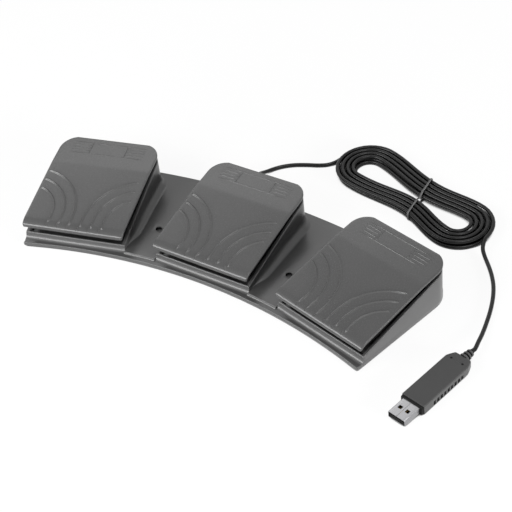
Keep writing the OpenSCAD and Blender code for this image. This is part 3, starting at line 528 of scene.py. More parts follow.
lead_in = [hank[0] - 2 * CORD_D * ARRIVE, hank[0] - CORD_D * ARRIVE, hank[0]]
lead_out = [hank[-1], hank[-1] + CORD_D * LEAVE, hank[-1] + 2 * CORD_D * LEAVE]
plug_end = PLUG_L + BOOT_L
into_plug = [plug_point(y, PLUG_T / 2) for y in (plug_end + CORD_D, plug_end, PLUG_L - CORD_IN)]
near = rounded(TO_HANK + lead_in, SPLINE_STEPS)
far = rounded(lead_out + TO_PLUG + into_plug, SPLINE_STEPS)
cord_line = np.vstack([near[:-1], hank, far[1:]])

# %% [markdown]
# A tube along that line could be a mesh grid. A curve with a round bevel is chosen, because it stays one
# open line, whose length and bends can be measured.

# %% The cord as one open curve
CORD_ROUNDNESS = 4


def make_cord(points):
    """A curve with one open poly spline and a round bevel."""
    data = bpy.data.curves.new("cord", "CURVE")
    data.dimensions = "3D"
    data.bevel_depth = CORD_D / 2 * MM
    data.bevel_resolution = CORD_ROUNDNESS
    data.use_fill_caps = True
    spline = data.splines.new("POLY")
    spline.points.add(len(points) - 1)
    spline.points.foreach_set("co", np.column_stack([points * MM, np.ones(len(points))]).ravel())
    spline.use_smooth = True
    data.materials.append(CORD_JACKET)
    cord = bpy.data.objects.new("cord", data)
    return place_piece(cord, "base", "cord_rubber", "cord_to_hank", "cord_hank", "cord_to_plug")


cord = make_cord(cord_line)
print("cord of", len(cord.data.splines), "spline,", CORD_D, "mm thick")

# %% [markdown]
# ## Studio
# The object lies on a white sweep. The floor takes real light, so it keeps a soft shadow, but what the
# camera sees of it is blended with plain white through the Light Path node, which is how a cut-out
# product picture gets its clean ground without more light on the object. In gaps of a few millimetres,
# such as those between the strands of the hank, that white fades out, which paints shade into them.

# %% Rays and gaps
GAP_REACH, GAP_CLOSED, GAP_OPEN = 0.006, 0.25, 0.45


def seen_by_eye(tree):
    """1 for camera, mirror and see-through rays, 0 for the rays that carry light."""
    path = tree.nodes.new("ShaderNodeLightPath")
    total = path.outputs["Is Camera Ray"]
    for name in ("Is Glossy Ray", "Is Transmission Ray"):
        larger = tree.nodes.new("ShaderNodeMath")
        larger.operation = "MAXIMUM"
        link(tree, total, larger.inputs[0])
        link(tree, path.outputs[name], larger.inputs[1])
        total = larger.outputs[0]
    return total


def gap_shade(tree):
    """Painted gap shade: 1 on open floor, 0 in narrow gaps, from the share of sky a point sees nearby."""
    sky = tree.nodes.new("ShaderNodeAmbientOcclusion")
    sky.inputs["Distance"].default_value = GAP_REACH
    remap = tree.nodes.new("ShaderNodeMapRange")
    remap.inputs["From Min"].default_value = GAP_CLOSED
    remap.inputs["From Max"].default_value = GAP_OPEN
    link(tree, sky.outputs["AO"], remap.inputs["Value"])
    return remap.outputs["Result"]


print("gaps are searched for within", GAP_REACH / MM, "mm")

# %% Floor
FLOOR_SIZE, FLOOR_GREY, SHADOW_SHARE = 12.0, 0.9, 0.09


def floor_material():
    """Part diffuse shade, part plain white that fades out in narrow gaps as painted shade."""
    material = bpy.data.materials.new("white_floor")
    material.use_nodes = True
    tree = material.node_tree
    tree.nodes.clear()
    shade = tree.nodes.new("ShaderNodeBsdfDiffuse")
    shade.inputs["Color"].default_value = (FLOOR_GREY, FLOOR_GREY, FLOOR_GREY, 1)
    white = tree.nodes.new("ShaderNodeEmission")
    share = tree.nodes.new("ShaderNodeMath")
    share.operation = "MULTIPLY"
    share.inputs[1].default_value = 1 - SHADOW_SHARE
    mix = tree.nodes.new("ShaderNodeMixShader")
    out = tree.nodes.new("ShaderNodeOutputMaterial")
    link(tree, seen_by_eye(tree), share.inputs[0])
    link(tree, share.outputs[0], mix.inputs["Fac"])
    link(tree, shade.outputs[0], mix.inputs[1])
    link(tree, gap_shade(tree), white.inputs["Strength"])
    link(tree, white.outputs[0], mix.inputs[2])
    link(tree, mix.outputs[0], out.inputs["Surface"])
    return material


def white_floor():
    """A flat square under the object, marked as stage."""
    half = FLOOR_SIZE / 2
    corners = [(-half, -half, 0), (half, -half, 0), (half, half, 0), (-half, half, 0)]
    mesh = bpy.data.meshes.new("floor")
    mesh.from_pydata(corners, [], [(0, 1, 2, 3)])
    mesh.materials.append(floor_material())
    floor = bpy.data.objects.new("floor", mesh)
    bpy.context.scene.collection.objects.link(floor)


white_floor()
print("floor of", FLOOR_SIZE, "m")

# %% World
WORLD_LEVEL = 0.1


def studio_world():
    """Soft even light all round, seen as plain white."""
    world = bpy.data.worlds.new("studio")
    world.use_nodes = True
    tree = world.node_tree
    background = tree.nodes["Background"]
    background.inputs["Color"].default_value = (1, 1, 1, 1)
    level = spread(tree, seen_by_eye(tree), WORLD_LEVEL, 1.0)
    link(tree, level, background.inputs["Strength"])
    bpy.context.scene.world = world


studio_world()
bpy.context.scene.view_settings.view_transform = "Standard"
print("world at", WORLD_LEVEL)

# %% [markdown]
# Satin plastic shows its lamps twice: as the light that falls on it and as their mirror image. Two low
# lamps light the walls and the ribs, and they are left out of the mirror image, where they would wash out
# the cap tops. A large lamp at the left front and a small one above give the soft sheen. A weak strip at
# the rear left lies where the rear part of each cap mirrors it, so that the bend shows.

# %% Lamps


def soft_lamp(name, place, wide, tall, watts, aim=(0, 0, 0), mirrored=True):
    """A rectangular area lamp that faces aim, in metres; mirrored says if glossy surfaces show it."""
    data = bpy.data.lights.new(name, "AREA")
    data.shape = "RECTANGLE"
    data.size = wide
    data.size_y = tall
    data.energy = watts
    lamp = bpy.data.objects.new(name, data)
    lamp.location = place
    lamp.visible_glossy = mirrored
    lamp.rotation_euler = (Vector(aim) - Vector(place)).to_track_quat("-Z", "Y").to_euler()
    bpy.context.scene.collection.objects.link(lamp)


soft_lamp("side", (1.65, -0.12, 0.24), wide=0.6, tall=0.4, watts=58.0, aim=(0.1, 0, 0), mirrored=False)
soft_lamp("front", (-0.4, -1.5, 0.2), wide=1.4, tall=0.3, watts=32.0, mirrored=False)
soft_lamp("above", (0.52, -0.05, 1.4), wide=0.5, tall=0.5, watts=6.0)
soft_lamp("left_front", (-0.72, -1.05, 0.8), wide=1.2, tall=0.6, watts=20.0)
soft_lamp("rear_left", (-0.76, 0.71, 1.08), wide=1.2, tall=0.2, watts=1.7)
print("lamps:", len(bpy.data.lights))

# %% [markdown]
# ## Pedal caps
# A cap is a slab with a rounded nose, a soft bend near the rear and rounded rear corners. It could be a box
# with bevels, but the nose is two arcs that run into each other. So its side view is drawn first, as one
# profile: tip, shoulder, front plane, bend, rear plane. Each point of that profile is then spread sideways
# to the cap's half width there, which gives the top as a grid.

# %% Side view of a cap
NOSE_TOP_Z, BEND_Y, BEND_Z, REAR_TOP_Z = 17.0, 54.0, 26.1, 28.6
SHOULDER_R, TIP_R, TIP_TURN, TIP_END = 12.0, 2.2, math.radians(35.0), math.radians(102.0)
EDGE_R, BEND_SOFT = 0.5, 1.2
TIP_ROWS, SHOULDER_ROWS, FRONT_ROWS, BEND_ROWS, REAR_ROWS = 16, 12, 24, 12, 26
FRONT_SLOPE = math.atan((BEND_Z - NOSE_TOP_Z) / BEND_Y)
REAR_SLOPE = math.atan((REAR_TOP_Z - BEND_Z) / (PEDAL_D - BEND_Y))
TIP_Y = TIP_R * (1 - math.sin(TIP_TURN))
SHOULDER_Y = TIP_Y + SHOULDER_R * (math.sin(TIP_TURN) - math.sin(FRONT_SLOPE))
SHOULDER_Z = NOSE_TOP_Z + SHOULDER_Y * math.tan(FRONT_SLOPE)


def top_height(y):
    """Height of the two top planes, joined by a parabola across the bend."""
    front, rear = math.tan(FRONT_SLOPE), math.tan(REAR_SLOPE)
    d = y - BEND_Y
    soft = (rear - front) * (d + BEND_SOFT) ** 2 / (4 * BEND_SOFT)
    beyond = np.where(d < -BEND_SOFT, 0, np.where(d > BEND_SOFT, (rear - front) * d, soft))
    return BEND_Z + front * d + beyond


def nose_arc(slopes, radius, y, z, slope):
    """Points of an arc that leaves (y, z) at a slope: turning from it to a runs r (sin a - sin slope)
    forward and r (cos slope - cos a) down."""
    return np.column_stack([y - radius * (np.sin(slopes) - math.sin(slope)),
                            z - radius * (math.cos(slope) - np.cos(slopes))])


def cap_side_view():
    """Rows of the top: up the tip, over the shoulder, then back along the planes. On the nose the rows are
    steps of the surface's slope. Returns points (y, z) and unit normals (y, z)."""
    tip_slopes = np.linspace(TIP_END, TIP_TURN, TIP_ROWS)
    shoulder_slopes = np.linspace(TIP_TURN, FRONT_SLOPE, SHOULDER_ROWS + 1)[1:]
    tip_z = SHOULDER_Z - SHOULDER_R * (math.cos(FRONT_SLOPE) - math.cos(TIP_TURN))
    tip = nose_arc(tip_slopes, TIP_R, TIP_Y, tip_z, TIP_TURN)
    shoulder = nose_arc(shoulder_slopes, SHOULDER_R, SHOULDER_Y, SHOULDER_Z, FRONT_SLOPE)
    slopes = np.concatenate([tip_slopes, shoulder_slopes])
    nose_normal = np.column_stack([-np.sin(slopes), np.cos(slopes)])
    y = np.concatenate([np.linspace(shoulder[-1, 0], BEND_Y - BEND_SOFT, FRONT_ROWS)[1:],
                        np.linspace(BEND_Y - BEND_SOFT, BEND_Y + BEND_SOFT, BEND_ROWS)[1:],
                        np.linspace(BEND_Y + BEND_SOFT, PEDAL_D - EDGE_R, REAR_ROWS)[1:]])
    z = top_height(y)
    slope = np.gradient(z, y)
    plane_normal = unit(np.column_stack([-slope, np.ones_like(slope)]))
    return np.vstack([tip, shoulder, np.column_stack([y, z])]), np.vstack([nose_normal, plane_normal])


side_view, side_normal = cap_side_view()
print("cap profile:", len(side_view), "rows, nose down to z", side_view[0, 1].round(2), "mm")

# %% [markdown]
# ### Ribs, ticks and lines
# The raised ribs keep a shoe from slipping. A bump texture could fake them, but they show in the outline
# and catch the light, so they are beads laid on the surface. A bead is a strip whose height across follows
# a squared cosine, so it leaves the surface without a crease, and it fades at both ends. The same function
# makes the two groups of arcs, the ticks over the nose and the fine lines at the rear.

# %% Beads on a surface
SINK = 0.02
ACROSS = np.linspace(-1, 1, 9)


def bead(stack, centre, across, normal, half, height, fade):
    """Carries the profile height * cos^2 along a path of n points. across and normal are one vector or one
    for each point; fade is the share of the path over which the height grows at each end."""
    t = np.linspace(0, 1, len(centre))
    across, normal = (np.broadcast_to(vector, centre.shape) for vector in (across, normal))
    ends = ease(np.minimum(t, 1 - t) / fade)
    lift = height * np.cos(np.pi / 2 * ACROSS)[None, :] ** 2 * ends[:, None] - SINK
    sideways = half * ACROSS[None, :, None] * across[:, None]
    stack.grid(centre[:, None] + sideways + lift[..., None] * normal[:, None], flip=True)


print("a bead has", len(ACROSS), "points across and starts", SINK, "mm below the surface")

# %% Arcs, ticks and lines of a cap
TICK_PITCH, RIB_X, RIB_S = 7.3, 40.5, 9.5
RIB_LOW, RIB_END_LEFT, RIB_END_RIGHT, RIB_FADE, RIB_SHIFT = 3.4, 1.0, 4.0, 1.2, 1.0
ARCS, ARC_STEPS, RIB_HALF, RIB_H = 3, 64, 0.85, 0.75
TICKS, TICK_STEPS, TICK_HALF, TICK_H, TICK_FADE = 6, 20, 0.6, 0.6, 0.2
TICK_BACK, TICK_FRONT = 2.0, 5.4
LINE_LEVELS, LINE_STEPS, LINE_HALF, LINE_H, LINE_FADE = 4, 12, 0.38, 0.23, 0.04
LINES_LOW, LINES_HIGH, LINE_END, LINE_POST = BEND_Y + 10.0, BEND_Y + 20.0, 26.0, 12.5
SIDEWAYS = np.array([1.0, 0.0, 0.0])


def on_front(x, s):
    """Points of the top from the side distance x and the distance s up the front slope."""
    y = s * math.cos(FRONT_SLOPE)
    upper = side_view[TIP_ROWS - 1:]
    return np.column_stack([x, y, np.interp(y, upper[:, 0], upper[:, 1])])


def add_arcs(stack):
    """Arcs about a centre at each side; they start at the ticks and run out at the side edges."""
    normal = np.array([0, -math.sin(FRONT_SLOPE), math.cos(FRONT_SLOPE)])
    for side, margin in ((-1, RIB_END_LEFT), (1, RIB_END_RIGHT)):
        for i in range(ARCS):
            r = RIB_X - TICK_PITCH * (i + 0.5)
            stop = math.degrees(math.acos((RIB_X - PEDAL_W / 2 + margin + side * RIB_SHIFT) / r))
            start = math.degrees(math.asin((RIB_S - RIB_LOW) / r))
            c, s = arc(180 - stop, 180 + start, ARC_STEPS)
            fade = RIB_FADE / (r * math.radians(stop + start))
            centre = on_front(RIB_SHIFT + side * (RIB_X + r * c), RIB_S + r * s)
            outward = np.column_stack([side * c, s * math.cos(FRONT_SLOPE), s * math.sin(FRONT_SLOPE)])
            bead(stack, centre, outward, normal, RIB_HALF, RIB_H, fade)


def add_ticks(stack):
    """Short beads that follow the side view from the front plane over the top of the nose."""
    walked = np.concatenate([[0], np.cumsum(np.linalg.norm(np.diff(side_view, axis=0), axis=1))])
    shoulder = walked[TIP_ROWS + SHOULDER_ROWS - 1]
    at = np.linspace(shoulder - TICK_BACK, shoulder - TICK_FRONT, TICK_STEPS)
    y, z, normal_y, normal_z = (np.interp(at, walked, values) for values in (*side_view.T, *side_normal.T))
    normal = np.column_stack([np.zeros(TICK_STEPS), normal_y, normal_z])
    for x in TICK_PITCH * (np.arange(TICKS) - (TICKS - 1) / 2):
        centre = np.column_stack([np.full(TICK_STEPS, x), y, z])
        bead(stack, centre, SIDEWAYS, normal, TICK_HALF, TICK_H, TICK_FADE)


def add_lines(stack):
    """Two long lines, two posts between them and short lines at both sides, on the rear plane."""
    normal = np.array([0, -math.sin(REAR_SLOPE), math.cos(REAR_SLOPE)])
    rearward = np.array([0, math.cos(REAR_SLOPE), math.sin(REAR_SLOPE)])
    levels = np.linspace(LINES_LOW, LINES_HIGH, LINE_LEVELS + 1)
    bars = [((-LINE_END, y), (LINE_END, y)) for y in (LINES_LOW, LINES_HIGH)]
    for side in (-1, 1):
        bars.append(((side * LINE_POST, LINES_LOW), (side * LINE_POST, LINES_HIGH)))
        bars += [((side * LINE_POST, y), (side * LINE_END, y)) for y in levels[1:-1]]
    for start, end in bars:
        xy = np.linspace(start, end, LINE_STEPS)
        centre = np.column_stack([xy, top_height(xy[:, 1])])
        across = rearward if start[0] != end[0] else SIDEWAYS
        bead(stack, centre, across, normal, LINE_HALF, LINE_H, LINE_FADE)


print("on each cap:", 2 * ARCS, "arcs,", TICKS, "ticks and", 2 * LINE_LEVELS + 2, "lines")

# %% [markdown]
# ### Slab
# The cap shows only a thin edge at its sides: below that edge its side steps in, and shade is painted
# into the recess with the dark tone.
# Thickness could come from a Solidify modifier, which would give the same edge everywhere. Instead loops
# walk from the border of the top outwards, down and back in, and one flat face closes the slab from below.

# %% Slab of a cap
CORNER_R, FRONT_CORNER_R = 12.0, 0.8
RIM_LOW, RIM_LOW_REAR = 13.4, 26.2
COLUMNS, PLAN_FROM, PLAN_TO = 61, 0.02, PEDAL_D - 0.3
EDGE_DROP, EDGE_KEEP, RECESS, RECESS_START = 0.7, 0.1, 2.6, 0.6


def half_width(y):
    """Half width of the plan: straight sides with a quarter circle at the front and at the rear."""
    front = np.clip(FRONT_CORNER_R - y, 0, FRONT_CORNER_R)
    rear = np.clip(y - PEDAL_D + CORNER_R, 0, CORNER_R)
    return (PEDAL_W / 2 - FRONT_CORNER_R + np.sqrt(FRONT_CORNER_R ** 2 - front ** 2)
            - CORNER_R + np.sqrt(CORNER_R ** 2 - rear ** 2))


def rim_low(y):
    """The straight lower edge of the slab, from the nose to the rear."""
    return RIM_LOW + (y - EDGE_R) * (RIM_LOW_REAR - RIM_LOW) / (PEDAL_D - EDGE_R)


def boundary(grid):
    """The points round a grid, in order: first row, last column, last row back, first column back."""
    return np.concatenate([grid[0, :-1], grid[:-1, -1], grid[-1, :0:-1], grid[:0:-1, 0]])


def add_slab(stack):
    """The slab: a grid for the top, loops round its thin edge and its recess, and one face below."""
    y, z = side_view[:, :1], side_view[:, 1:]
    half = half_width(np.clip(y, PLAN_FROM, PLAN_TO)) - EDGE_R
    x = half * np.linspace(-1, 1, COLUMNS)
    top = np.stack([x, np.broadcast_to(y, x.shape), np.broadcast_to(z, x.shape)], -1)
    stack.grid(top)
    normal = np.hstack([np.zeros_like(y), side_normal])
    normal = boundary(np.repeat(normal[:, None], COLUMNS, 1))
    ring = boundary(top)
    outward = unit(np.cross(along_ring(ring), normal))
    loops = rounded_edge(ring, outward, normal, EDGE_R)
    edge = loops[-1].copy()
    edge[:, 2] = np.maximum(edge[:, 2] - EDGE_DROP, rim_low(edge[:, 1]) + EDGE_KEEP)
    stack.grid(np.concatenate([loops, edge[None]]), closed=True, flip=True)
    level = unit(outward * [1, 1, 0])
    recess = edge - RECESS * np.clip(edge[:, 1:2] - RECESS_START, 0, 1) * level
    foot = recess.copy()
    foot[:, 2] = rim_low(foot[:, 1])
    # Painted shade: the recess and the face below the slab are laid in the dark tone.
    stack.tone = PAINTED_SHADE
    first = stack.grid(np.array([edge, recess, foot]), closed=True, flip=True)
    stack.cap(first + 2 * len(ring), len(ring))
    stack.tone = MAIN


print("slab of", len(side_view), "x", COLUMNS, "points, edge of", EDGE_DROP, "mm")

# %% [markdown]
# ### Chin, skirt and posts
# Under the nose hangs a chin, an upright face. Behind it is a skirt, a thin wall that closes the view into
# the housing and ends in two ears round the hinge pins. A round seat for the spring and a post for the
# switch hang from the slab as well. They could stay plain solids, but the dressed cap replaces the whole
# node, so it has them too. The skirt and the posts are laid in the dark tone, as painted shade under
# the cap.

# %% Whole cap
SKIRT_HALF, SKIRT_T, SKIRT_Z, SKIRT_FRONT, SKIRT_IN, SKIRT_STEPS = 31.4, 2.0, 9.6, 3.6, 0.8, 30
EAR_R, EAR_START_DROP, EAR_END_DROP = 4.0, 2.0, 1.0
CHIN_FRONT, CHIN_LOW, CHIN_EASE, CHIN_IN, CHIN_BACK = 0.7, 12.5, 0.4, 0.6, SKIRT_FRONT + 0.2
SPRING_X, SPRING_Y = 12.0, 28.0
SEAT_R, SEAT_LOW, SEAT_HIGH = 5.3, 17.0, 18.6
PEG_R, PEG_LOW, PEG_HIGH = 3.1, 14.0, 17.5
PUSHER_X, PUSHER_Y, PUSHER_R, PUSHER_LOW, PUSHER_HIGH = -12.0, 37.0, 1.0, 15.16, 19.5
POST_SIDES, CAP_SHARP = 24, 50


def add_chin(stack):
    """The upright face below the nose, with an eased lower edge."""
    eased = arc_points(CHIN_FRONT + CHIN_EASE, CHIN_LOW + CHIN_EASE, CHIN_EASE, 180, 270, len(QUARTER))
    high = RIM_LOW + CHIN_IN
    outline = np.vstack([[[CHIN_FRONT, high]], eased, [[CHIN_BACK, CHIN_LOW], [CHIN_BACK, high]]])
    add_prism(stack, outline, -SKIRT_HALF, SKIRT_HALF)


def add_skirt(stack):
    """A closed wall ring: outer face, lower edge, inner face, and a top that ends inside the slab."""
    front, rear = SKIRT_FRONT, HINGE_Y + EAR_R
    low_at = [front, HINGE_Y - EAR_R, HINGE_Y, rear]
    low_z = [SKIRT_Z, HINGE_Z - EAR_START_DROP, HINGE_Z - EAR_R, HINGE_Z - EAR_END_DROP]
    walk, ones = np.linspace(-1, 1, SKIRT_STEPS), np.ones(SKIRT_STEPS)
    x = np.concatenate([walk, ones, walk[::-1], -ones])
    share = (1 + np.concatenate([-ones, walk, ones, walk[::-1]])) / 2
    loops = []
    for inset, at_top in ((0, True), (0, False), (SKIRT_T, False), (SKIRT_T, True)):
        y = front + inset + (rear - front - 2 * inset) * share
        z = rim_low(y) + SKIRT_IN if at_top else np.interp(y, low_at, low_z)
        loops.append(np.column_stack([(SKIRT_HALF - inset) * x, y, z]))
    stack.grid(np.array(loops + [loops[0]]), closed=True)


def add_post(stack, x, y, radius, low, high):
    """A round post between two heights."""
    c, s = circle(POST_SIDES)
    rings = [np.column_stack([x + radius * c, y + radius * s, np.full(POST_SIDES, z)]) for z in (low, high)]
    first = stack.grid(np.array(rings), closed=True)
    stack.cap(first, POST_SIDES, flip=True)
    stack.cap(first + POST_SIDES, POST_SIDES)


def make_cap(side):
    """One pedal cap in its own frame, carried to its place in the fan."""
    name = "pedal_" + side
    stack = Stack()
    for add in (add_slab, add_arcs, add_ticks, add_lines, add_chin):
        add(stack)
    # Painted shade: the skirt and the posts below the cap are laid in the dark tone.
    stack.tone = PAINTED_SHADE
    add_skirt(stack)
    add_post(stack, SPRING_X, SPRING_Y, SEAT_R, SEAT_LOW, SEAT_HIGH)
    add_post(stack, SPRING_X, SPRING_Y, PEG_R, PEG_LOW, PEG_HIGH)
    add_post(stack, PUSHER_X, PUSHER_Y, PUSHER_R, PUSHER_LOW, PUSHER_HIGH)
    stack.carry(lambda points: to_world(points, side))
    finishes = [CAP_PLASTIC, DARK_PLASTIC_AND_SHADE]
    return stack.piece("pedal_cap_" + side, finishes, name, "pedal_plastic", name, CAP_SHARP)


caps = [make_cap(side) for side in SIDES]
print("caps:", len(caps))

# %% [markdown]
# ## The base shell: deck and lip
# The base is one long moulding that follows an arc. Booleans could cut it from a block, but they leave
# uneven faces. Its deck is easiest in polar coordinates about the centre of the fan: rows are radii,
# columns are angles, and the section across the rows gives the lip, the small cove behind it and the deck.

# %% Section and rows of the deck
FAN_R = 366.0
FAN_Y = NOSE_LINE - FAN_R
RIGHT_AXIS = pedal_frame("right")[1]
FAN_ANGLE = math.atan2(-RIGHT_AXIS[1], RIGHT_AXIS[0])
FRONT_R, DECK_DEPTH = 363.6, 2.8
REAR_R = FAN_R + PEDAL_D + DECK_DEPTH
FOOT_H, PLATE_TOP, DECK_TOP, LIP_TOP, LIP_W = 0.8, 2.8, 4.8, 3.4, 3.6
STEP_R = FRONT_R + LIP_W
COVE = DECK_TOP - LIP_TOP
HOUSING_HALF, SHELL_WALL, BASE_CORNER = 34.8, 2.2, 15.5
DECK_EDGE, STEP_EDGE, LIP_BACK, STEP_BACK, REAR_BAND = 0.5, 0.4, 0.6, 4.0, 15.5
STEP_COVE_END, STEP_EDGE_START = -14, 170
STEP_COVE_ROWS, STEP_EDGE_ROWS, FRONT_DECK_ROWS, REAR_DECK_ROWS, BAND_ROWS = 8, 6, 10, 12, 22
HAIR = 0.01
HOLE_R, HOLE_RADIUS, HOLE_X = 2.0, FAN_R + 28.0, 49.0
HOLE_ANGLE = math.asin(HOLE_X / HOLE_RADIUS)
PATCH, PATCH_STEPS = 4.0, 8
PATCH_ANGLE = PATCH / HOLE_RADIUS


def deck_section():
    """Radius and height of each row: lip, concave step of one radius, rounded edge, flat deck. The rows
    close up towards the rear edge, where the corners turn."""
    lip = [[FRONT_R + DECK_EDGE, LIP_TOP], [STEP_R - COVE - LIP_BACK, LIP_TOP]]
    cove = arc_points(STEP_R - COVE, DECK_TOP, COVE, -90, STEP_COVE_END, STEP_COVE_ROWS)
    edge = arc_points(STEP_R + STEP_EDGE, DECK_TOP - STEP_EDGE, STEP_EDGE, STEP_EDGE_START, 90,
                      STEP_EDGE_ROWS)
    rear = REAR_R - DECK_EDGE
    flat = np.concatenate([np.linspace(STEP_R + STEP_BACK, HOLE_RADIUS - PATCH, FRONT_DECK_ROWS),
                           np.linspace(HOLE_RADIUS - PATCH, HOLE_RADIUS + PATCH, PATCH_STEPS + 1)[1:],
                           np.linspace(HOLE_RADIUS + PATCH, rear - REAR_BAND, REAR_DECK_ROWS)[1:],
                           rear - REAR_BAND * np.linspace(1, 0, BAND_ROWS)[1:] ** 2])
    return np.vstack([lip, cove, edge, np.column_stack([flat, np.full(len(flat), DECK_TOP)])]).T


def end_angle(r):
    """Angle at which a row ends: at the flat end wall or, near the rear, on a corner circle that
    touches both the end wall and the rear arc."""
    reach = HOUSING_HALF - HAIR - DECK_EDGE
    wall = np.arcsin(reach / r)
    centre_r = REAR_R - BASE_CORNER
    turn = math.asin((HOUSING_HALF - BASE_CORNER) / centre_r)
    radius = BASE_CORNER - DECK_EDGE
    inside = (r ** 2 + centre_r ** 2 - radius ** 2) / (2 * r * centre_r)
    corner = turn + np.arccos(np.clip(inside, -1, 1))
    start = math.hypot(reach, centre_r * math.cos(turn))
    return FAN_ANGLE + np.where(r > start, corner, wall)


deck_r, deck_z = deck_section()
print("deck rows:", len(deck_r), "end angles", np.round(np.degrees(end_angle(deck_r[[0, -1]])), 2))

# %% Columns and surface of the deck
STRAIGHT_ANGLE = math.radians(16.4)
INNER_COLUMNS, OUTER_COLUMNS = 20, 60
HOUSING_FRONT_Y = 1.9
TUCK_BACK, STEP_ROOM = 1.0, 1.0
WALL_ANGLE = math.asin(HOUSING_HALF / STEP_R)
HAIR_ANGLE = HAIR / FAN_R


def deck_angles():
    """Column angles: even steps, with columns at the borders and inside of both hole patches."""
    span = FAN_ANGLE + math.asin(HOUSING_HALF / HOLE_RADIUS)
    inner = np.linspace(0, HOLE_ANGLE - PATCH_ANGLE, INNER_COLUMNS)[1:]
    patch = np.linspace(HOLE_ANGLE - PATCH_ANGLE, HOLE_ANGLE + PATCH_ANGLE, PATCH_STEPS + 1)[1:]
    outer = np.linspace(HOLE_ANGLE + PATCH_ANGLE, span, OUTER_COLUMNS)[1:]
    gap_start, gap_end = WALL_ANGLE, FAN_ANGLE - WALL_ANGLE
    near_walls = [gap_start - HAIR_ANGLE, gap_start, gap_end, gap_end + HAIR_ANGLE]
    right = np.sort(np.concatenate([inner, patch, outer, near_walls]))
    return np.concatenate([-right[::-1], [0], right])


def polar(r, angle, z):
    """Points from fan radius, angle to the right of the middle, and height."""
    return np.stack([r * np.sin(angle), FAN_Y + r * np.cos(angle), z], -1)


def deck_top_grid():
    """The deck's surface. In front of a housing the step is tucked below its wall, and beyond a set angle
    the columns are drawn out to where each row ends."""
    base = deck_angles()
    from_axis = np.min(np.abs(base[:, None] - FAN_ANGLE * np.array([-1, 0, 1])), 1)
    covered = from_axis < WALL_ANGLE - HAIR_ANGLE / 2
    tuck = (FAN_R + HOUSING_FRONT_Y - TUCK_BACK) / np.cos(from_axis) - (STEP_R - COVE)
    at_step = (deck_r > FRONT_R + STEP_ROOM) & (deck_r < STEP_R + STEP_ROOM)
    r = deck_r[:, None] + at_step[:, None] * (covered * tuck)[None]
    share = np.clip((np.abs(base) - STRAIGHT_ANGLE) / (base[-1] - STRAIGHT_ANGLE), 0, 1)
    angle = base[None] + np.sign(base)[None] * share[None] * (end_angle(r) - base[-1])
    return polar(r, angle, np.repeat(deck_z[:, None], len(base), 1)), base


deck_top, deck_columns = deck_top_grid()
print("deck grid:", deck_top.shape[0], "x", deck_top.shape[1], "points")

# %% [markdown]
# Two screw-down holes lie in the deck between the pedals. Two square patches of the grid are left out, and
# each is filled by rings that change from the square to the round edge of the hole. That keeps the faces
# even all round the hole, which a cut would not. A rounded edge and the rim then go round the whole deck.

# %% Holes, rim and roof of the deck
HOLE_EDGE, HOLE_EDGE_IN, HOLE_EDGE_DOWN = 0.4, 0.12, 0.1
FOOT_EDGE, FOOT_EDGE_IN = 0.4, 0.12
ROOF_GAP = 0.1


def add_hole(stack, side):
    """Fills one patch: rings blend from the square border to the hole's rounded edge and down its bore."""
    t = np.linspace(-1, 1, PATCH_STEPS + 1)
    there, back, ones = t[:-1], t[:0:-1], np.ones(PATCH_STEPS)
    border_x = np.concatenate([there, ones, back, -ones])
    border_y = np.concatenate([-ones, there, ones, back])
    square = polar(HOLE_RADIUS + PATCH * border_y, side * HOLE_ANGLE + PATCH_ANGLE * border_x,
                   np.full(len(border_x), DECK_TOP))
    centre = polar(HOLE_RADIUS, side * HOLE_ANGLE, DECK_TOP)
    spoke = unit(square[:, :2] - centre[:2])
    levels = ((HOLE_R + HOLE_EDGE, DECK_TOP), (HOLE_R + HOLE_EDGE_IN, DECK_TOP - HOLE_EDGE_DOWN),
              (HOLE_R, DECK_TOP - HOLE_EDGE), (HOLE_R, FOOT_H))
    rings = [square]
    for radius, z in levels:
        rings.append(np.column_stack([centre[:2] + radius * spoke, np.full(len(spoke), z)]))
    stack.grid(np.array(rings[:-1]), closed=True)
    # Painted shade: the bore of the hole is laid in the dark tone.
    stack.tone = PAINTED_SHADE
    stack.grid(np.array(rings[-2:]), closed=True)
    stack.tone = MAIN


def add_roof(stack, first, rows, cols):
    """Closes the innermost loop: quads from each front point to its rear point, and one face at each end."""
    j = np.arange(cols - 1)
    rear = 2 * cols + rows - 3 - j
    stack.add_faces(first + np.column_stack([j, j + 1, rear - 1, rear]))
    stack.cap(first + cols - 1, rows)
    left = np.arange(2 * cols + rows - 3, 2 * (cols + rows - 2))
    stack.add_faces([first + np.append(left, 0)])


def add_deck(stack):
    """The top with its holes, a rounded edge all round, the rim down to the floor side and a roof inside."""
    middle_r = (deck_r[1:] + deck_r[:-1]) / 2
    middle_a = (deck_columns[1:] + deck_columns[:-1]) / 2
    in_r = np.abs(middle_r - HOLE_RADIUS) < PATCH
    in_a = np.abs(np.abs(middle_a) - HOLE_ANGLE) < PATCH_ANGLE
    stack.grid(deck_top, keep=~(in_r[:, None] & in_a[None]))
    for side in (-1, 1):
        add_hole(stack, side)
    ring = boundary(deck_top)
    along = along_ring(ring)
    outward = unit(np.column_stack([along[:, 1], -along[:, 0], np.zeros(len(ring))]))
    loops = list(rounded_edge(ring, outward, np.array([0, 0, 1.0]), DECK_EDGE))
    rim = ((0, FOOT_H + FOOT_EDGE), (FOOT_EDGE_IN, FOOT_H + FOOT_EDGE_IN), (FOOT_EDGE, FOOT_H),
           (SHELL_WALL, FOOT_H), (SHELL_WALL, PLATE_TOP + ROOF_GAP))
    for inset, z in rim:
        loop = ring + (DECK_EDGE - inset) * outward
        loop[:, 2] = z
        loops.append(loop)
    first = stack.grid(np.array(loops), closed=True, flip=True)
    add_roof(stack, first + (len(loops) - 1) * len(ring), *deck_top.shape[:2])


print("holes of", 2 * HOLE_R, "mm,", round(2 * HOLE_X, 1), "mm apart")

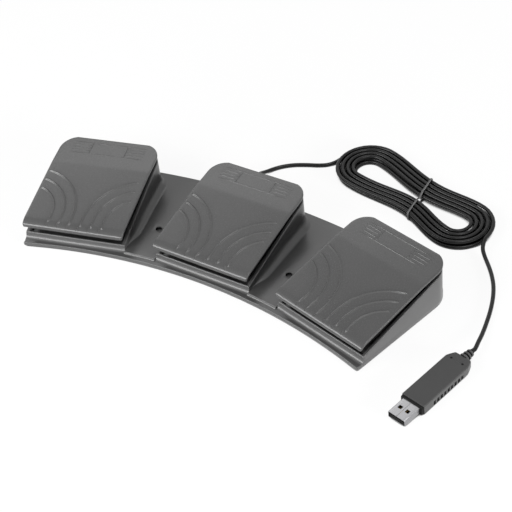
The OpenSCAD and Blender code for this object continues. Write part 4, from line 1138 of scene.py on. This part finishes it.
# %% [markdown]
# ## The base shell: housings
# Each pedal stands in a housing, an open box with a sloping rim. It could be an extruded plan with a cut
# across, but its rim is rounded on both edges. So the box is a stack of rings: every ring is the same plan,
# drawn in a little more, at a height that follows the slope. Narrow arcs at both edges of the rim catch the
# light as the real moulding does.

# %% Housing walls
HOUSING_FRONT_Z, HOUSING_REAR_Y, HOUSING_REAR_Z = 7.8, 77.7, 25.3
HOUSING_CORNER, HOUSING_EDGE, LEAST_CORNER, INNER_CORNER = 11.5, 0.4, 0.02, 0.1
FRONT_WALL, RIM_EDGE, INNER_EDGE_SHARE, WALL_FOOT = 1.2, 0.55, 0.6, PLATE_TOP + 0.2
CORNER_POINTS, SIDE_POINTS = 13, 42


def rim_height(y):
    """Height of the housing's sloping rim."""
    start = HOUSING_FRONT_Y + RIM_EDGE
    return HOUSING_FRONT_Z + (y - start) * (HOUSING_REAR_Z - HOUSING_FRONT_Z) / (HOUSING_REAR_Y - start)


def plan_ring(half, front, rear, rear_corner, front_corner):
    """A rectangle with rounded corners as one ring of points: sides in even steps, corners as arcs."""
    corners = []
    for x_sign, y_sign, radius, start in ((1, -1, front_corner, -90), (1, 1, rear_corner, 0),
                                          (-1, 1, rear_corner, 90), (-1, -1, front_corner, 180)):
        x = x_sign * (half - radius)
        y = rear - radius if y_sign > 0 else front + radius
        corners.append(arc_points(x, y, radius, start, start + 90, CORNER_POINTS))
    ring = []
    for corner, following in zip(corners, corners[1:] + corners[:1]):
        ring += [corner, np.linspace(corner[-1], following[0], SIDE_POINTS)[1:-1]]
    return np.concatenate(ring)


def outer_plan(inset):
    """The housing's outer plan, drawn in by inset."""
    return plan_ring(HOUSING_HALF - inset, HOUSING_FRONT_Y + inset, HOUSING_REAR_Y - inset,
                     HOUSING_CORNER - inset, max(HOUSING_EDGE - inset, LEAST_CORNER))


def inner_plan(outset):
    """The plan of the housing's hollow, let out by outset."""
    wall = SHELL_WALL - outset
    return plan_ring(HOUSING_HALF - wall, HOUSING_FRONT_Y + FRONT_WALL - outset, HOUSING_REAR_Y - wall,
                     HOUSING_CORNER - wall, INNER_CORNER + outset)


def at_level(plan, z):
    """A plan at one height."""
    return np.column_stack([plan, np.full(len(plan), z)])


def below_rim(plan, drop):
    """A plan that follows the sloping rim, at a drop below it."""
    return np.column_stack([plan, rim_height(plan[:, 1]) - drop])


def add_walls(stack):
    """Rings up the outer wall, over the rim's two rounded edges and down the inner wall. At angle a of an
    edge the ring lies r (1 - cos a) in from the wall and r (1 - sin a) below the rim."""
    ins, drops = RIM_EDGE * (1 - np.cos(QUARTER)), RIM_EDGE * (1 - np.sin(QUARTER))
    turns = list(zip(ins, drops))
    rings = [at_level(outer_plan(0), WALL_FOOT), at_level(outer_plan(0), DECK_TOP)]
    rings += [below_rim(outer_plan(inset), drop) for inset, drop in turns]
    rings += [below_rim(inner_plan(inset * INNER_EDGE_SHARE), drop) for inset, drop in turns[::-1]]
    rings.append(at_level(inner_plan(0), WALL_FOOT))
    stack.grid(np.array(rings + rings[:1]), closed=True)


print("housing plan:", len(outer_plan(0)), "points")

# %% [markdown]
# A hollow sweep runs below each housing's front edge, and softer ones lead from the deck into its side
# walls. They could be fillets of one mesh, but the fan would make them uneven. Each is a strip of its own
# whose back lies inside the wall, so it is closed and leaves no gap.

# %% Coves and sweeps
COVE_R, COVE_STEPS, COVE_BELOW, COVE_IN = 3.2, 15, 0.4, 0.6
SWEEP_R, SWEEP_START, SWEEP_GROW, SWEEP_SHARE, SWEEP_BACK = 5.0, 0.5, 14.0, 0.8, 0.3
SWEEP_STEPS, SWEEP_TURN, TURN_POINTS, SWEEP_COLUMNS, SWEEP_POWER = 60, 80, 16, 19, 1.8


def add_front_cove(stack):
    """The hollow quarter circle below the housing's front edge."""
    hollow = arc_points(HOUSING_FRONT_Y - COVE_R, LIP_TOP + COVE_R, COVE_R, 0, -90, COVE_STEPS)
    low, back = LIP_TOP - COVE_BELOW, HOUSING_FRONT_Y + COVE_IN
    outline = np.vstack([hollow, [[hollow[-1, 0], low], [back, low], [back, hollow[0, 1]]]])
    add_prism(stack, outline, -HOUSING_HALF, HOUSING_HALF)


def add_sweep(stack, side):
    """A hollow quarter circle from the deck into one side wall; it fades in from the front and runs out
    round the rear corner."""
    straight_end = HOUSING_REAR_Y - HOUSING_CORNER
    y = np.linspace(HOUSING_FRONT_Y + SWEEP_START, straight_end, SWEEP_STEPS)
    c, s = arc(0, SWEEP_TURN, TURN_POINTS)
    corner_x = HOUSING_HALF - HOUSING_CORNER
    turn = arc_points(corner_x, straight_end, HOUSING_CORNER, 0, SWEEP_TURN, TURN_POINTS)
    path = np.vstack([np.column_stack([np.full(SWEEP_STEPS, HOUSING_HALF), y]), turn[1:]])
    out = np.vstack([np.tile([1.0, 0], (SWEEP_STEPS, 1)), np.column_stack([c, s])[1:]])
    leave = np.concatenate([np.ones(SWEEP_STEPS), np.linspace(1, 0, TURN_POINTS)[1:]])
    room = SWEEP_SHARE * (rim_height(path[:, 1]) - RIM_EDGE - DECK_TOP)
    radius = np.minimum(SWEEP_R, room) * ease((path[:, 1] - y[0]) / SWEEP_GROW) * leave
    radius = radius[:, None]
    b = np.pi / 2 * (1 - np.linspace(1, 0, SWEEP_COLUMNS) ** SWEEP_POWER)
    back = np.full_like(radius, -SWEEP_BACK)
    away = np.hstack([radius * (1 - np.cos(b)) - 2 * HAIR * np.cos(b), back])
    z = DECK_TOP + np.hstack([radius * (1 - np.sin(b)) - 2 * HAIR * np.sin(b), back])
    points = np.stack([side * (path[:, :1] + away * out[:, :1]), path[:, 1:] + away * out[:, 1:], z], -1)
    rows, cols = points.shape[:2]
    first = stack.grid(points, closed=True, flip=side > 0)
    stack.cap(first, cols)
    stack.cap(first + (rows - 1) * cols, cols)


print("sweeps of up to", SWEEP_R, "mm, front coves of", COVE_R, "mm")

# %% [markdown]
# Inside each housing two ribs hold the hinge pins and three bosses take the base screws. They hardly
# show, but they are what carries the cap, so the dressed shell has them too.

# %% Ribs and bosses, and the shell as one piece
HINGE_RIB_X, HINGE_RIB_T, HINGE_HEAD, HEAD_POINTS, RIB_IN = 28.6, 2.6, 3.2, 9, 0.4
BOSS_R, BOSS_X, BOSS_Y, BOSS_REAR_Y = 2.8, 29.15, 5.5, 73.1
BOSS_TOP, BOSS_REAR_TOP = 6.0, 12.0
BOSSES = ((-BOSS_X, BOSS_Y, BOSS_TOP), (BOSS_X, BOSS_Y, BOSS_TOP), (0, BOSS_REAR_Y, BOSS_REAR_TOP))
SWEEP_SIDES = {"left": (1,), "middle": (-1, 1), "right": (-1,)}
PART_SHARP = 40


def add_hinge_ribs(stack):
    """Two upright ribs with a round head about the hinge line."""
    head = arc_points(HINGE_Y, HINGE_Z, HINGE_HEAD, 180, 90, HEAD_POINTS)
    back, top = HOUSING_REAR_Y - SHELL_WALL + RIB_IN, HINGE_Z + HINGE_HEAD
    outline = np.vstack([[[HINGE_Y - HINGE_HEAD, PLATE_TOP]], head, [[back, top], [back, PLATE_TOP]]])
    for side in (-1, 1):
        add_prism(stack, outline, side * (HINGE_RIB_X - HINGE_RIB_T), side * HINGE_RIB_X)


def housing(side):
    """One housing in its pedal's frame, carried to its place in the fan."""
    part = Stack()
    add_walls(part)
    add_front_cove(part)
    for sweep in SWEEP_SIDES[side]:
        add_sweep(part, sweep)
    add_hinge_ribs(part)
    for x, y, top in BOSSES:
        add_post(part, x, y, BOSS_R, PLATE_TOP, top)
    return part.carry(lambda points: to_world(points, side))


def make_shell():
    """Deck and three housings in one mesh."""
    stack = Stack()
    add_deck(stack)
    for side in SIDES:
        stack.join(housing(side))
    finishes = [SHELL_PLASTIC, DARK_PLASTIC_AND_SHADE]
    return stack.piece("base_shell", finishes, "base", "shell_plastic", "top_shell", PART_SHARP)


shell = make_shell()
print("shell corners in mm:", [[round(v / MM, 1) for v in shell.bound_box[i]] for i in (0, 6)])

# %% [markdown]
# ## The plug
# The plug is a flat moulded grip with a row of notches low on both sides, a dark collar, a folded metal
# sleeve and a ribbed boot round the cord. The notches could be cut out, but a loft does it in one surface:
# one closed ring for each distance from the grip's front, drawn in at both ends for the rounded edges.
# Every notch is a dip in the side columns of the rings that pass through it, and its deeper faces are
# laid in the dark tone as painted shade.

# %% Lofts along the plug
CORNER_STEPS = 7
FLANK_GAP = 0.1
FLANK_SHARES = np.array([0, 1, 1, 0])


def to_plug(points):
    """Turns points of the plug's frame, y running to the cord, into the part's frame."""
    c, s = math.cos(PLUG_TURN), math.sin(PLUG_TURN)
    x, y = points[..., 0], points[..., 1]
    return np.stack([PLUG_POINT[0] + x * c - y * s, PLUG_POINT[1] + x * s + y * c, points[..., 2]], -1)


def loft(y, half, low, high, corner, notch_top=None, depth=0.0):
    """Rings of rounded rectangles along y. All values are numbers or arrays along y; the sides are drawn
    in by depth from just above the lower corners up to notch_top."""
    sizes = np.broadcast_arrays(y, half, low, high, corner, depth)
    y, half, low, high, corner, depth = (size[:, None] for size in sizes)
    lower, upper = low + corner, high - corner
    bottom = lower + FLANK_GAP
    top = upper - FLANK_GAP if notch_top is None else np.full_like(low, notch_top)
    flank_x = half - depth * FLANK_SHARES
    flank_z = np.hstack([bottom, bottom, top, top])

    def quarter(x_sign, z, start):
        """One corner of every ring, as an arc from an angle."""
        c, s = arc(start, start + 90, CORNER_STEPS)
        return x_sign * (half - corner) + corner * c, z + corner * s

    parts = [quarter(1, lower, -90), (flank_x, flank_z), quarter(1, upper, 0),
             quarter(-1, upper, 90), (-flank_x, flank_z[:, ::-1]), quarter(-1, lower, 180)]
    x, z = (np.hstack(values) for values in zip(*parts))
    return np.stack([x, np.broadcast_to(y, x.shape), z], -1)


def close_ends(stack, rings, dark=None):
    """Adds a loft with a flat face on its first and last ring; dark marks the faces painted in shade."""
    rows, cols = rings.shape[:2]
    first = stack.grid(rings, closed=True, keep=None if dark is None else ~dark)
    stack.cap(first, cols)
    stack.cap(first + (rows - 1) * cols, cols, flip=True)
    if dark is not None:
        stack.tone = PAINTED_SHADE
        stack.grid(rings, closed=True, keep=dark)
        stack.tone = MAIN


print("plug turned by", round(math.degrees(PLUG_TURN), 1), "degrees")

# %% Grip of the plug
PLUG_HALF, PLUG_REAR_HALF, PLUG_TAPER, TAPER_POWER = 8.0, 5.5, 6.0, 1.2
PLUG_EDGE, FRONT_EDGE, EDGE_RINGS, PLAIN_RINGS, PLAIN_FROM = 0.8, 0.2, 7, 24, 2.0
NOTCHES, NOTCH_START, NOTCH_PITCH, NOTCH_R, NOTCH_OUT, NOTCH_TOP = 9, 9.0, 3.0, 1.1, 0.5, 4.1
NOTCH_RINGS, NOTCH_MARGIN, NOTCH_SHADE_DEPTH = 130, 1.2, 0.05
DOT_X, DOT_IN, DOT_R, DOT_DEEP, DOT_PROUD = 4.0, 6.0, 0.7, 0.5, 0.02
GROOVE_DEEP, GROOVE_HALF, GROOVE_RINGS = 0.12, 0.25, 5
DOT_Y = PLUG_L - DOT_IN


def end_rounding(distance, edge):
    """How far a ring is drawn in at a distance from an end: a quarter circle of the edge's radius."""
    reach = np.clip(1 - distance / edge, 0, 1)
    return edge * (1 - np.sqrt(1 - reach ** 2))


def grip_stations(centres):
    """Distances of the rings: close at both ends, at the notches and at the groove, plain between."""
    ends = np.linspace(0, 1, EDGE_RINGS) ** 2
    return np.unique(np.round(np.concatenate([
        FRONT_EDGE * ends, PLUG_L - PLUG_EDGE * ends,
        np.linspace(PLAIN_FROM, PLUG_L - PLAIN_FROM, PLAIN_RINGS),
        np.linspace(centres[0] - NOTCH_MARGIN, centres[-1] + NOTCH_MARGIN, NOTCH_RINGS),
        DOT_Y + GROOVE_HALF * np.linspace(-1, 1, GROOVE_RINGS)]), 3))


def make_grip():
    """The grip with its notches, a shallow groove across the top and two dark dots of painted shade."""
    centres = NOTCH_START + NOTCH_PITCH * np.arange(NOTCHES)
    y = grip_stations(centres)
    away = np.min(np.abs(y[:, None] - centres), 1)
    depth = np.maximum(np.sqrt(np.maximum(NOTCH_R ** 2 - away ** 2, 0)) - NOTCH_OUT, 0)
    inset = end_rounding(y, FRONT_EDGE) + end_rounding(PLUG_L - y, PLUG_EDGE)
    rear = np.clip((y - PLUG_L + PLUG_TAPER) / PLUG_TAPER, 0, 1)
    half = PLUG_HALF - (PLUG_HALF - PLUG_REAR_HALF) * rear ** TAPER_POWER - inset
    groove = GROOVE_DEEP * np.clip(1 - np.abs(y - DOT_Y) / GROOVE_HALF, 0, 1)
    low = PLUG_EDGE * y / PLUG_L + inset
    high = PLUG_T - PLUG_EDGE * rear - groove - inset
    rings = loft(y, half, low, high, PLUG_EDGE, NOTCH_TOP, depth)
    columns = np.arange(rings.shape[1]) % (rings.shape[1] // 2)
    in_flank = (columns >= CORNER_STEPS) & (columns < CORNER_STEPS + len(FLANK_SHARES) - 1)
    # Painted shade: the flank faces deep in a notch are laid in the dark tone.
    dark = (np.minimum(depth[1:], depth[:-1]) > NOTCH_SHADE_DEPTH)[:, None] & in_flank[None]
    stack = Stack()
    close_ends(stack, rings, dark)
    # Painted shade: two dark discs, barely proud, stand for the shade in two small holes.
    stack.tone = PAINTED_SHADE
    for side in (-1, 1):
        add_post(stack, side * DOT_X, DOT_Y, DOT_R, PLUG_T - DOT_DEEP, PLUG_T + DOT_PROUD)
    finishes = [PLUG_PLASTIC, DARK_PLASTIC_AND_SHADE]
    return stack.carry(to_plug).piece("plug_grip", finishes, "base", "plug_plastic", "plug_body", PART_SHARP)


grip = make_grip()
print("grip with", NOTCHES, "notches on each side")

# %% [markdown]
# The sleeve is folded from thin sheet. A Solidify modifier could give the sheet its thickness, but the
# windows need clean walls. Its outer and inner skins are two closed grids with the same number of columns,
# so a window is a cell left out of both, and every border between a kept and an open cell gets a wall from
# skin to skin. Two square latch windows on each flat side and the slit along the fold are made that way.

# %% Sheet of the sleeve
USB_HALF, USB_T, USB_L, USB_WALL, USB_CORNER = 6.0, 4.5, 12.5, 0.3, 0.7
LATCH_X, LATCH, LATCH_IN, SLIT_HALF, SLIT_END = 2.6, 2.4, 5.2, 0.09, 0.4
FLAT_X = np.array([-LATCH_X - LATCH / 2, LATCH / 2 - LATCH_X, -SLIT_HALF,
                   SLIT_HALF, LATCH_X - LATCH / 2, LATCH_X + LATCH / 2])


def add_sheet(stack, outer, inner, kept):
    """A thin wall between two matching closed grids, with windows where cells aren't kept."""
    rows, cols = outer.shape[:2]
    first = stack.grid(outer, closed=True, keep=kept)
    second = stack.grid(inner, closed=True, flip=True, keep=kept)
    number = np.arange(rows * cols).reshape(rows, cols)
    padded = np.pad(kept, ((1, 1), (0, 0)))
    i, j = np.nonzero(padded[1:] != padded[:-1])
    across = np.column_stack([number[i, j], number[i, (j + 1) % cols]])
    i, j = np.nonzero(kept != np.roll(kept, 1, 1))
    along = np.column_stack([number[i, j], number[i + 1, j]])
    edges = np.vstack([across, along])
    stack.add_faces(np.column_stack([first + edges, second + edges[:, ::-1]]))


def sleeve_ring(inset):
    """Cross-section of the sleeve: flat top and bottom with fixed columns, and rounded corners."""
    corner = USB_CORNER - inset
    side = USB_HALF - USB_CORNER
    low, high = (PLUG_T - USB_T) / 2 + inset, (PLUG_T + USB_T) / 2 - inset
    level = np.ones(len(FLAT_X))
    return np.vstack([np.column_stack([FLAT_X, low * level]),
                      arc_points(side, low + corner, corner, -90, 0, CORNER_STEPS),
                      arc_points(side, high - corner, corner, 0, 90, CORNER_STEPS),
                      np.column_stack([FLAT_X[::-1], high * level]),
                      arc_points(-side, high - corner, corner, 90, 180, CORNER_STEPS),
                      arc_points(-side, low + corner, corner, 180, 270, CORNER_STEPS)])


def carried(ring, y, narrowed=0.0):
    """Carries a cross-section (x, z) along y; narrowed is the share taken off its width at each y."""
    x = (1 - np.broadcast_to(narrowed, y.shape))[:, None] * ring[:, 0]
    return np.stack([x, np.broadcast_to(y[:, None], x.shape), np.broadcast_to(ring[:, 1], x.shape)], -1)


print("sleeve section:", len(sleeve_ring(0)), "points")

# %% Collar and metal sleeve
COLLAR_HALF, COLLAR_L, COLLAR_LOW, COLLAR_CORNER, COLLAR_IN = 7.6, 1.6, 0.3, 1.0, 0.2
COLLAR_EASE_Y, COLLAR_EASE = np.array([0, 0.05, 0.15, 0.3]), np.array([0.3, 0.18, 0.06, 0])
MOUTH_L, MOUTH_EASE = 0.15, 0.12


def make_sleeve():
    """The metal sleeve in front of the collar, with its mouth eased."""
    y = np.array([0, MOUTH_L, LATCH_IN, LATCH_IN + LATCH, USB_L - SLIT_END, USB_L]) - COLLAR_L - USB_L
    mouth = np.zeros(len(y))
    mouth[0] = MOUTH_EASE / USB_HALF
    outer, inner = carried(sleeve_ring(0), y, mouth), carried(sleeve_ring(USB_WALL), y)
    kept = np.ones((len(y) - 1, outer.shape[1]), bool)
    top = len(FLAT_X) + 2 * CORNER_STEPS
    # Row 2 spans the latch windows, the outer cells of each flat; the slit is the top's middle cell.
    for first in (0, top):
        kept[2, [first, first + 4]] = False
    kept[:-1, top + 2] = False
    stack = Stack()
    add_sheet(stack, to_plug(outer), to_plug(inner), kept)
    return stack.piece("plug_sleeve", [PLATED_STEEL], "base", "plug_metal", "usb_shell", PART_SHARP)


def make_collar():
    """The dark collar between grip and sleeve."""
    y = np.append(COLLAR_EASE_Y, COLLAR_L + COLLAR_IN) - COLLAR_L
    inset = np.append(COLLAR_EASE, 0)
    low, high = COLLAR_LOW + inset, PLUG_T - COLLAR_LOW - inset
    rings = loft(y, COLLAR_HALF - inset, low, high, COLLAR_CORNER)
    stack = Stack()
    close_ends(stack, to_plug(rings))
    return stack.piece("plug_ring", [DARK_PLASTIC_AND_SHADE], "base", "black_plastic", "plug_collar", PART_SHARP)


sleeve, collar = make_sleeve(), make_collar()
print("sleeve of", USB_L, "mm with a wall of", USB_WALL, "mm")

# %% [markdown]
# ## Boot and strain relief
# Both ends of the cord are held by a ribbed rubber sleeve, which keeps the cord from kinking. A screw
# modifier could turn one, but here each is turned from a profile in one array: distance along the axis and
# radius. One rib adds eight points to the profile, with its edges eased.

# %% Profiles of ribbed sleeves
RIB_EDGE, RIB_EDGE_MID = 0.25, 0.075
END_L, END_DROP, TURN_SIDES, SLEEVE_SHARP = 0.2, 0.15, 40, 50


def rib(start, end, foot, radius):
    """Profile points of one rib with eased edges; foot is its radius at the start and at the end."""
    edge, mid = RIB_EDGE, RIB_EDGE_MID
    return [[start, foot[0]], [start, radius - edge], [start + mid, radius - mid], [start + edge, radius],
            [end - edge, radius], [end - mid, radius - mid], [end, radius - edge], [end, foot[1]]]


def taper(start, end, first, last):
    """Returns the radius of a cone as a function of the distance along it."""
    return lambda y: np.interp(y, [start, end], [first, last])


def end_lip(end, foot):
    """Profile points of the eased far end of a ribbed sleeve."""
    return [[end - END_L, foot(end - END_L)], [end, foot(end) - END_DROP]]


def turned(profile):
    """Turns a profile of (distance, radius) round the y axis: x = r cos a, z = r sin a."""
    profile = np.asarray(profile, float)
    c, s = circle(TURN_SIDES)
    r = profile[:, 1:]
    return np.stack([r * c, np.repeat(profile[:, :1], TURN_SIDES, 1), r * s], -1)


print("a rib has", len(rib(0, 1, (1, 1), 2)), "profile points")

# %% Boot of the plug
BOOT_R, BOOT_RIBS, BOOT_STEP, BOOT_SHRINK, BOOT_TUCK = PLUG_T / 2 - 0.1, 3, 2.6, 0.4, 0.3
BOOT_FOOT_R, BOOT_END_R, GROOVE_ROOM = BOOT_R - 0.9, CORD_D / 2 + 0.2, 0.1


def make_boot():
    """The boot behind the grip: ribs on a taper, with shade painted into the grooves."""
    foot = taper(0, BOOT_L, BOOT_FOOT_R, BOOT_END_R)
    profile = [[-BOOT_TUCK, BOOT_FOOT_R]]
    for i in range(BOOT_RIBS):
        ends = np.array([i, i + 0.5]) * BOOT_STEP
        profile += rib(*ends, foot(ends), BOOT_R - BOOT_SHRINK * i)
    profile += end_lip(BOOT_L, foot)
    along, radius = np.array(profile).T
    # Painted shade: the faces low in the grooves are laid in the dark tone.
    groove_shade = np.minimum(radius[1:], radius[:-1]) < foot(along[1:]) + GROOVE_ROOM
    dark = np.repeat(groove_shade[:, None], TURN_SIDES, 1)
    stack = Stack()
    close_ends(stack, to_plug(turned(profile) + [0, PLUG_L, PLUG_T / 2]), dark)
    finishes = [PLUG_PLASTIC, DARK_PLASTIC_AND_SHADE]
    return stack.piece("plug_boot_ribs", finishes, "base", "plug_plastic", "plug_boot", SLEEVE_SHARP)


boot = make_boot()
print("ribs on the boot:", BOOT_RIBS)

# %% Strain relief
GLAND_NECK, GLAND_L, GLAND_RIBS, GLAND_RIB_L, GLAND_SHRINK = 2.9, 12.6, 4, 1.4, 0.3
GLAND_FOOT_R, GLAND_END_R, GLAND_RIB_R = GLAND_NECK - 0.5, CORD_D / 2 + 0.3, GLAND_NECK - 0.1
FLANGE_IN_R, FLANGE_IN_T, FLANGE_OUT_R, FLANGE_OUT_T, FLANGE_ROOM = 4.2, 1.5, 3.6, 1.15, 0.05
RIBS_FROM = 2.2
WALL_IN = HOUSING_REAR_Y - SHELL_WALL


def make_gland():
    """The strain relief: a flange on each side of the rear wall and a ribbed taper behind it."""
    start, end = SHELL_WALL + FLANGE_ROOM, SHELL_WALL + GLAND_L
    foot = taper(start, end, GLAND_FOOT_R, GLAND_END_R)
    flange_end = start + FLANGE_OUT_T
    profile = rib(-FLANGE_IN_T, 0, (CORD_D / 2, GLAND_NECK), FLANGE_IN_R)
    profile += rib(start, flange_end, (GLAND_NECK, foot(flange_end)), FLANGE_OUT_R)
    for i in range(GLAND_RIBS):
        low = SHELL_WALL + RIBS_FROM + i * (GLAND_L - RIBS_FROM) / GLAND_RIBS
        ends = np.array([low, low + GLAND_RIB_L])
        profile += rib(*ends, foot(ends), GLAND_RIB_R - GLAND_SHRINK * i)
    profile += end_lip(end, foot)
    stack = Stack()
    close_ends(stack, to_world(turned(profile) + [GLAND_X, WALL_IN, GLAND_Z], "middle"))
    return stack.piece("gland_ribs", [CORD_JACKET], "base", "cord_rubber", "cable_gland", SLEEVE_SHARP)


gland = make_gland()
print("ribs on the strain relief:", GLAND_RIBS)

# %% [markdown]
# ## The tie
# A flat coated wire is wrapped once round the waist of the hank, a little slanted. A curve with a flat bevel
# could make it, but it would twist at the corners. So a flat oval is carried along a closed outline in an
# upright plane: flat below, round at both sides, and dipping between the two bundles.

# %% Tie round the hank
TIE_TURN, TIE_W, TIE_T, TIE_SIDES, TIE_POWER, TIE_SHARP = math.radians(2.5), 1.2, 0.5, 12, 0.5, 60
TIE_FAR, TIE_NEAR, TIE_LOW, TIE_HIGH, TIE_CORNER = 19.6, 18.2, 0.3, 6.9, 1.6
TIE_DIP, DIP_HALF = 1.6, 5.0
TIE_BOTTOM_STEPS, TIE_TOP_STEPS, TIE_CORNER_STEPS = 30, 60, 9


def tie_path():
    """Closed outline (distance along the tie, height), anticlockwise from the bottom."""
    far, near = TIE_FAR - TIE_CORNER, TIE_CORNER - TIE_NEAR
    low, high = TIE_LOW + TIE_CORNER, TIE_HIGH - TIE_CORNER

    def corner(x, z, start):
        """A quarter circle from an angle."""
        return arc_points(x, z, TIE_CORNER, start, start + 90, TIE_CORNER_STEPS)

    below = np.linspace(near, far, TIE_BOTTOM_STEPS)[1:-1]
    above = np.linspace(far, near, TIE_TOP_STEPS)[1:-1]
    dip = TIE_DIP * np.cos(np.pi / 2 * np.clip(np.abs(above) / DIP_HALF, 0, 1)) ** 2
    return np.vstack([np.column_stack([below, np.full(len(below), TIE_LOW)]),
                      corner(far, low, -90), corner(far, high, 0),
                      np.column_stack([above, TIE_HIGH - dip]),
                      corner(near, high, 90), corner(near, low, 180)])


def make_tie():
    """Carries a flat oval section along the closed path."""
    path = tie_path()
    along = along_ring(path)
    normal = unit(np.column_stack([along[:, 1], -along[:, 0]]))
    wide, thick = (size / 2 * np.sign(wave) * np.abs(wave) ** TIE_POWER
                   for size, wave in zip((TIE_W, TIE_T), circle(TIE_SIDES)))
    in_plane = path[:, None] + thick[None, :, None] * normal[:, None]
    x = np.repeat(wide[None], len(path), 0)
    c, s = math.cos(TIE_TURN), math.sin(TIE_TURN)
    points = np.stack([HANK_CENTRE[0] + x * c - in_plane[..., 0] * s,
                       HANK_CENTRE[1] + x * s + in_plane[..., 0] * c, in_plane[..., 1]], -1)
    stack = Stack()
    stack.grid(np.concatenate([points, points[:1]]), closed=True)
    return stack.piece("wire_tie", [TIE_PLASTIC], "base", "tie_plastic", "hank_tie", TIE_SHARP)


tie = make_tie()
print("tie", TIE_W, "mm wide round", TIE_FAR + TIE_NEAR, "mm of strands")

# %% [markdown]
# ## The return springs
# A coil of steel wire stands between the bottom plate and a seat under each cap, and pushes the pedal up.
# A curve with a bevel or a screw modifier would also make it. Here the round wire is carried along a helix
# as one grid.

# %% Coils under the caps
SPRING_D, SPRING_WIRE, SPRING_TURNS = 9.0, 0.9, 7
WIRE_SIDES, TURN_STEPS = 10, 24


def make_spring(side):
    """Carries a circle along a helix: the angle and the height both grow steadily."""
    node, joint = "return_spring_" + side, "press_" + side
    low, high = (corner[2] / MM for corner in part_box(node))
    angle = np.linspace(0, 2 * np.pi * SPRING_TURNS, TURN_STEPS * SPRING_TURNS + 1)[:, None]
    rise = np.linspace(low, high - SPRING_WIRE, len(angle))[:, None]
    c, s = circle(WIRE_SIDES)
    radius = (SPRING_D - SPRING_WIRE + SPRING_WIRE * c) / 2
    height = rise + SPRING_WIRE / 2 * (1 + s)
    points = np.stack([SPRING_X + radius * np.cos(angle), SPRING_Y + radius * np.sin(angle), height], -1)
    stack = Stack()
    first = stack.grid(to_world(points, side), closed=True)
    stack.cap(first, WIRE_SIDES, flip=True)
    stack.cap(first + WIRE_SIDES * (len(angle) - 1), WIRE_SIDES)
    spring = stack.piece("coil_spring_" + side, [ZINC_STEEL], "base", "spring_steel", node)
    foot = to_world([SPRING_X, SPRING_Y, low], side) * MM
    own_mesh(spring)
    return spring


springs = [make_spring(side) for side in SIDES]
print("springs:", len(springs), "of", SPRING_TURNS, "turns")

# %% [markdown]
# ## The solids that stay
# The bottom plate, the feet, the screws, the boards and the switches keep the shape of their solids, which
# is right as it is. They could be remade, but hardly any of them shows. Each only gets the finish that its
# slot in the record asks for.

# %% Finishes of the solids that stay
NODE_FINISH = {"shell_plastic": SHELL_PLASTIC, "foot_rubber": FOOT_RUBBER, "screw_steel": ZINC_STEEL,
               "spring_steel": ZINC_STEEL, "board": BOARD_MASK, "black_plastic": DARK_PLASTIC_AND_SHADE,
               "red_plastic": RED_PLASTIC, "ribbon_plastic": PLUG_PLASTIC, "cord_rubber": CORD_JACKET,
               "tie_plastic": TIE_PLASTIC, "plug_plastic": PLUG_PLASTIC, "plug_metal": PLATED_STEEL,
               "contact_metal": CONTACT_GOLD, "pedal_plastic": CAP_PLASTIC}
for part in frame["record"]["subparts"]:
    solid = frame["nodes"][part["node"]]
    solid.data.materials.clear()
    solid.data.materials.append(NODE_FINISH[part["material_slot"]])

# %% [markdown]
# ## Pieces on the cord
# The pieces that ride on the cord are gathered in one list, and their number is printed.

on_cord = [grip, sleeve, collar, boot, gland, tie]
on_cord += [frame["nodes"][name] for name in ("usb_tongue", "usb_contacts")]
print("pieces on the cord:", len(on_cord))
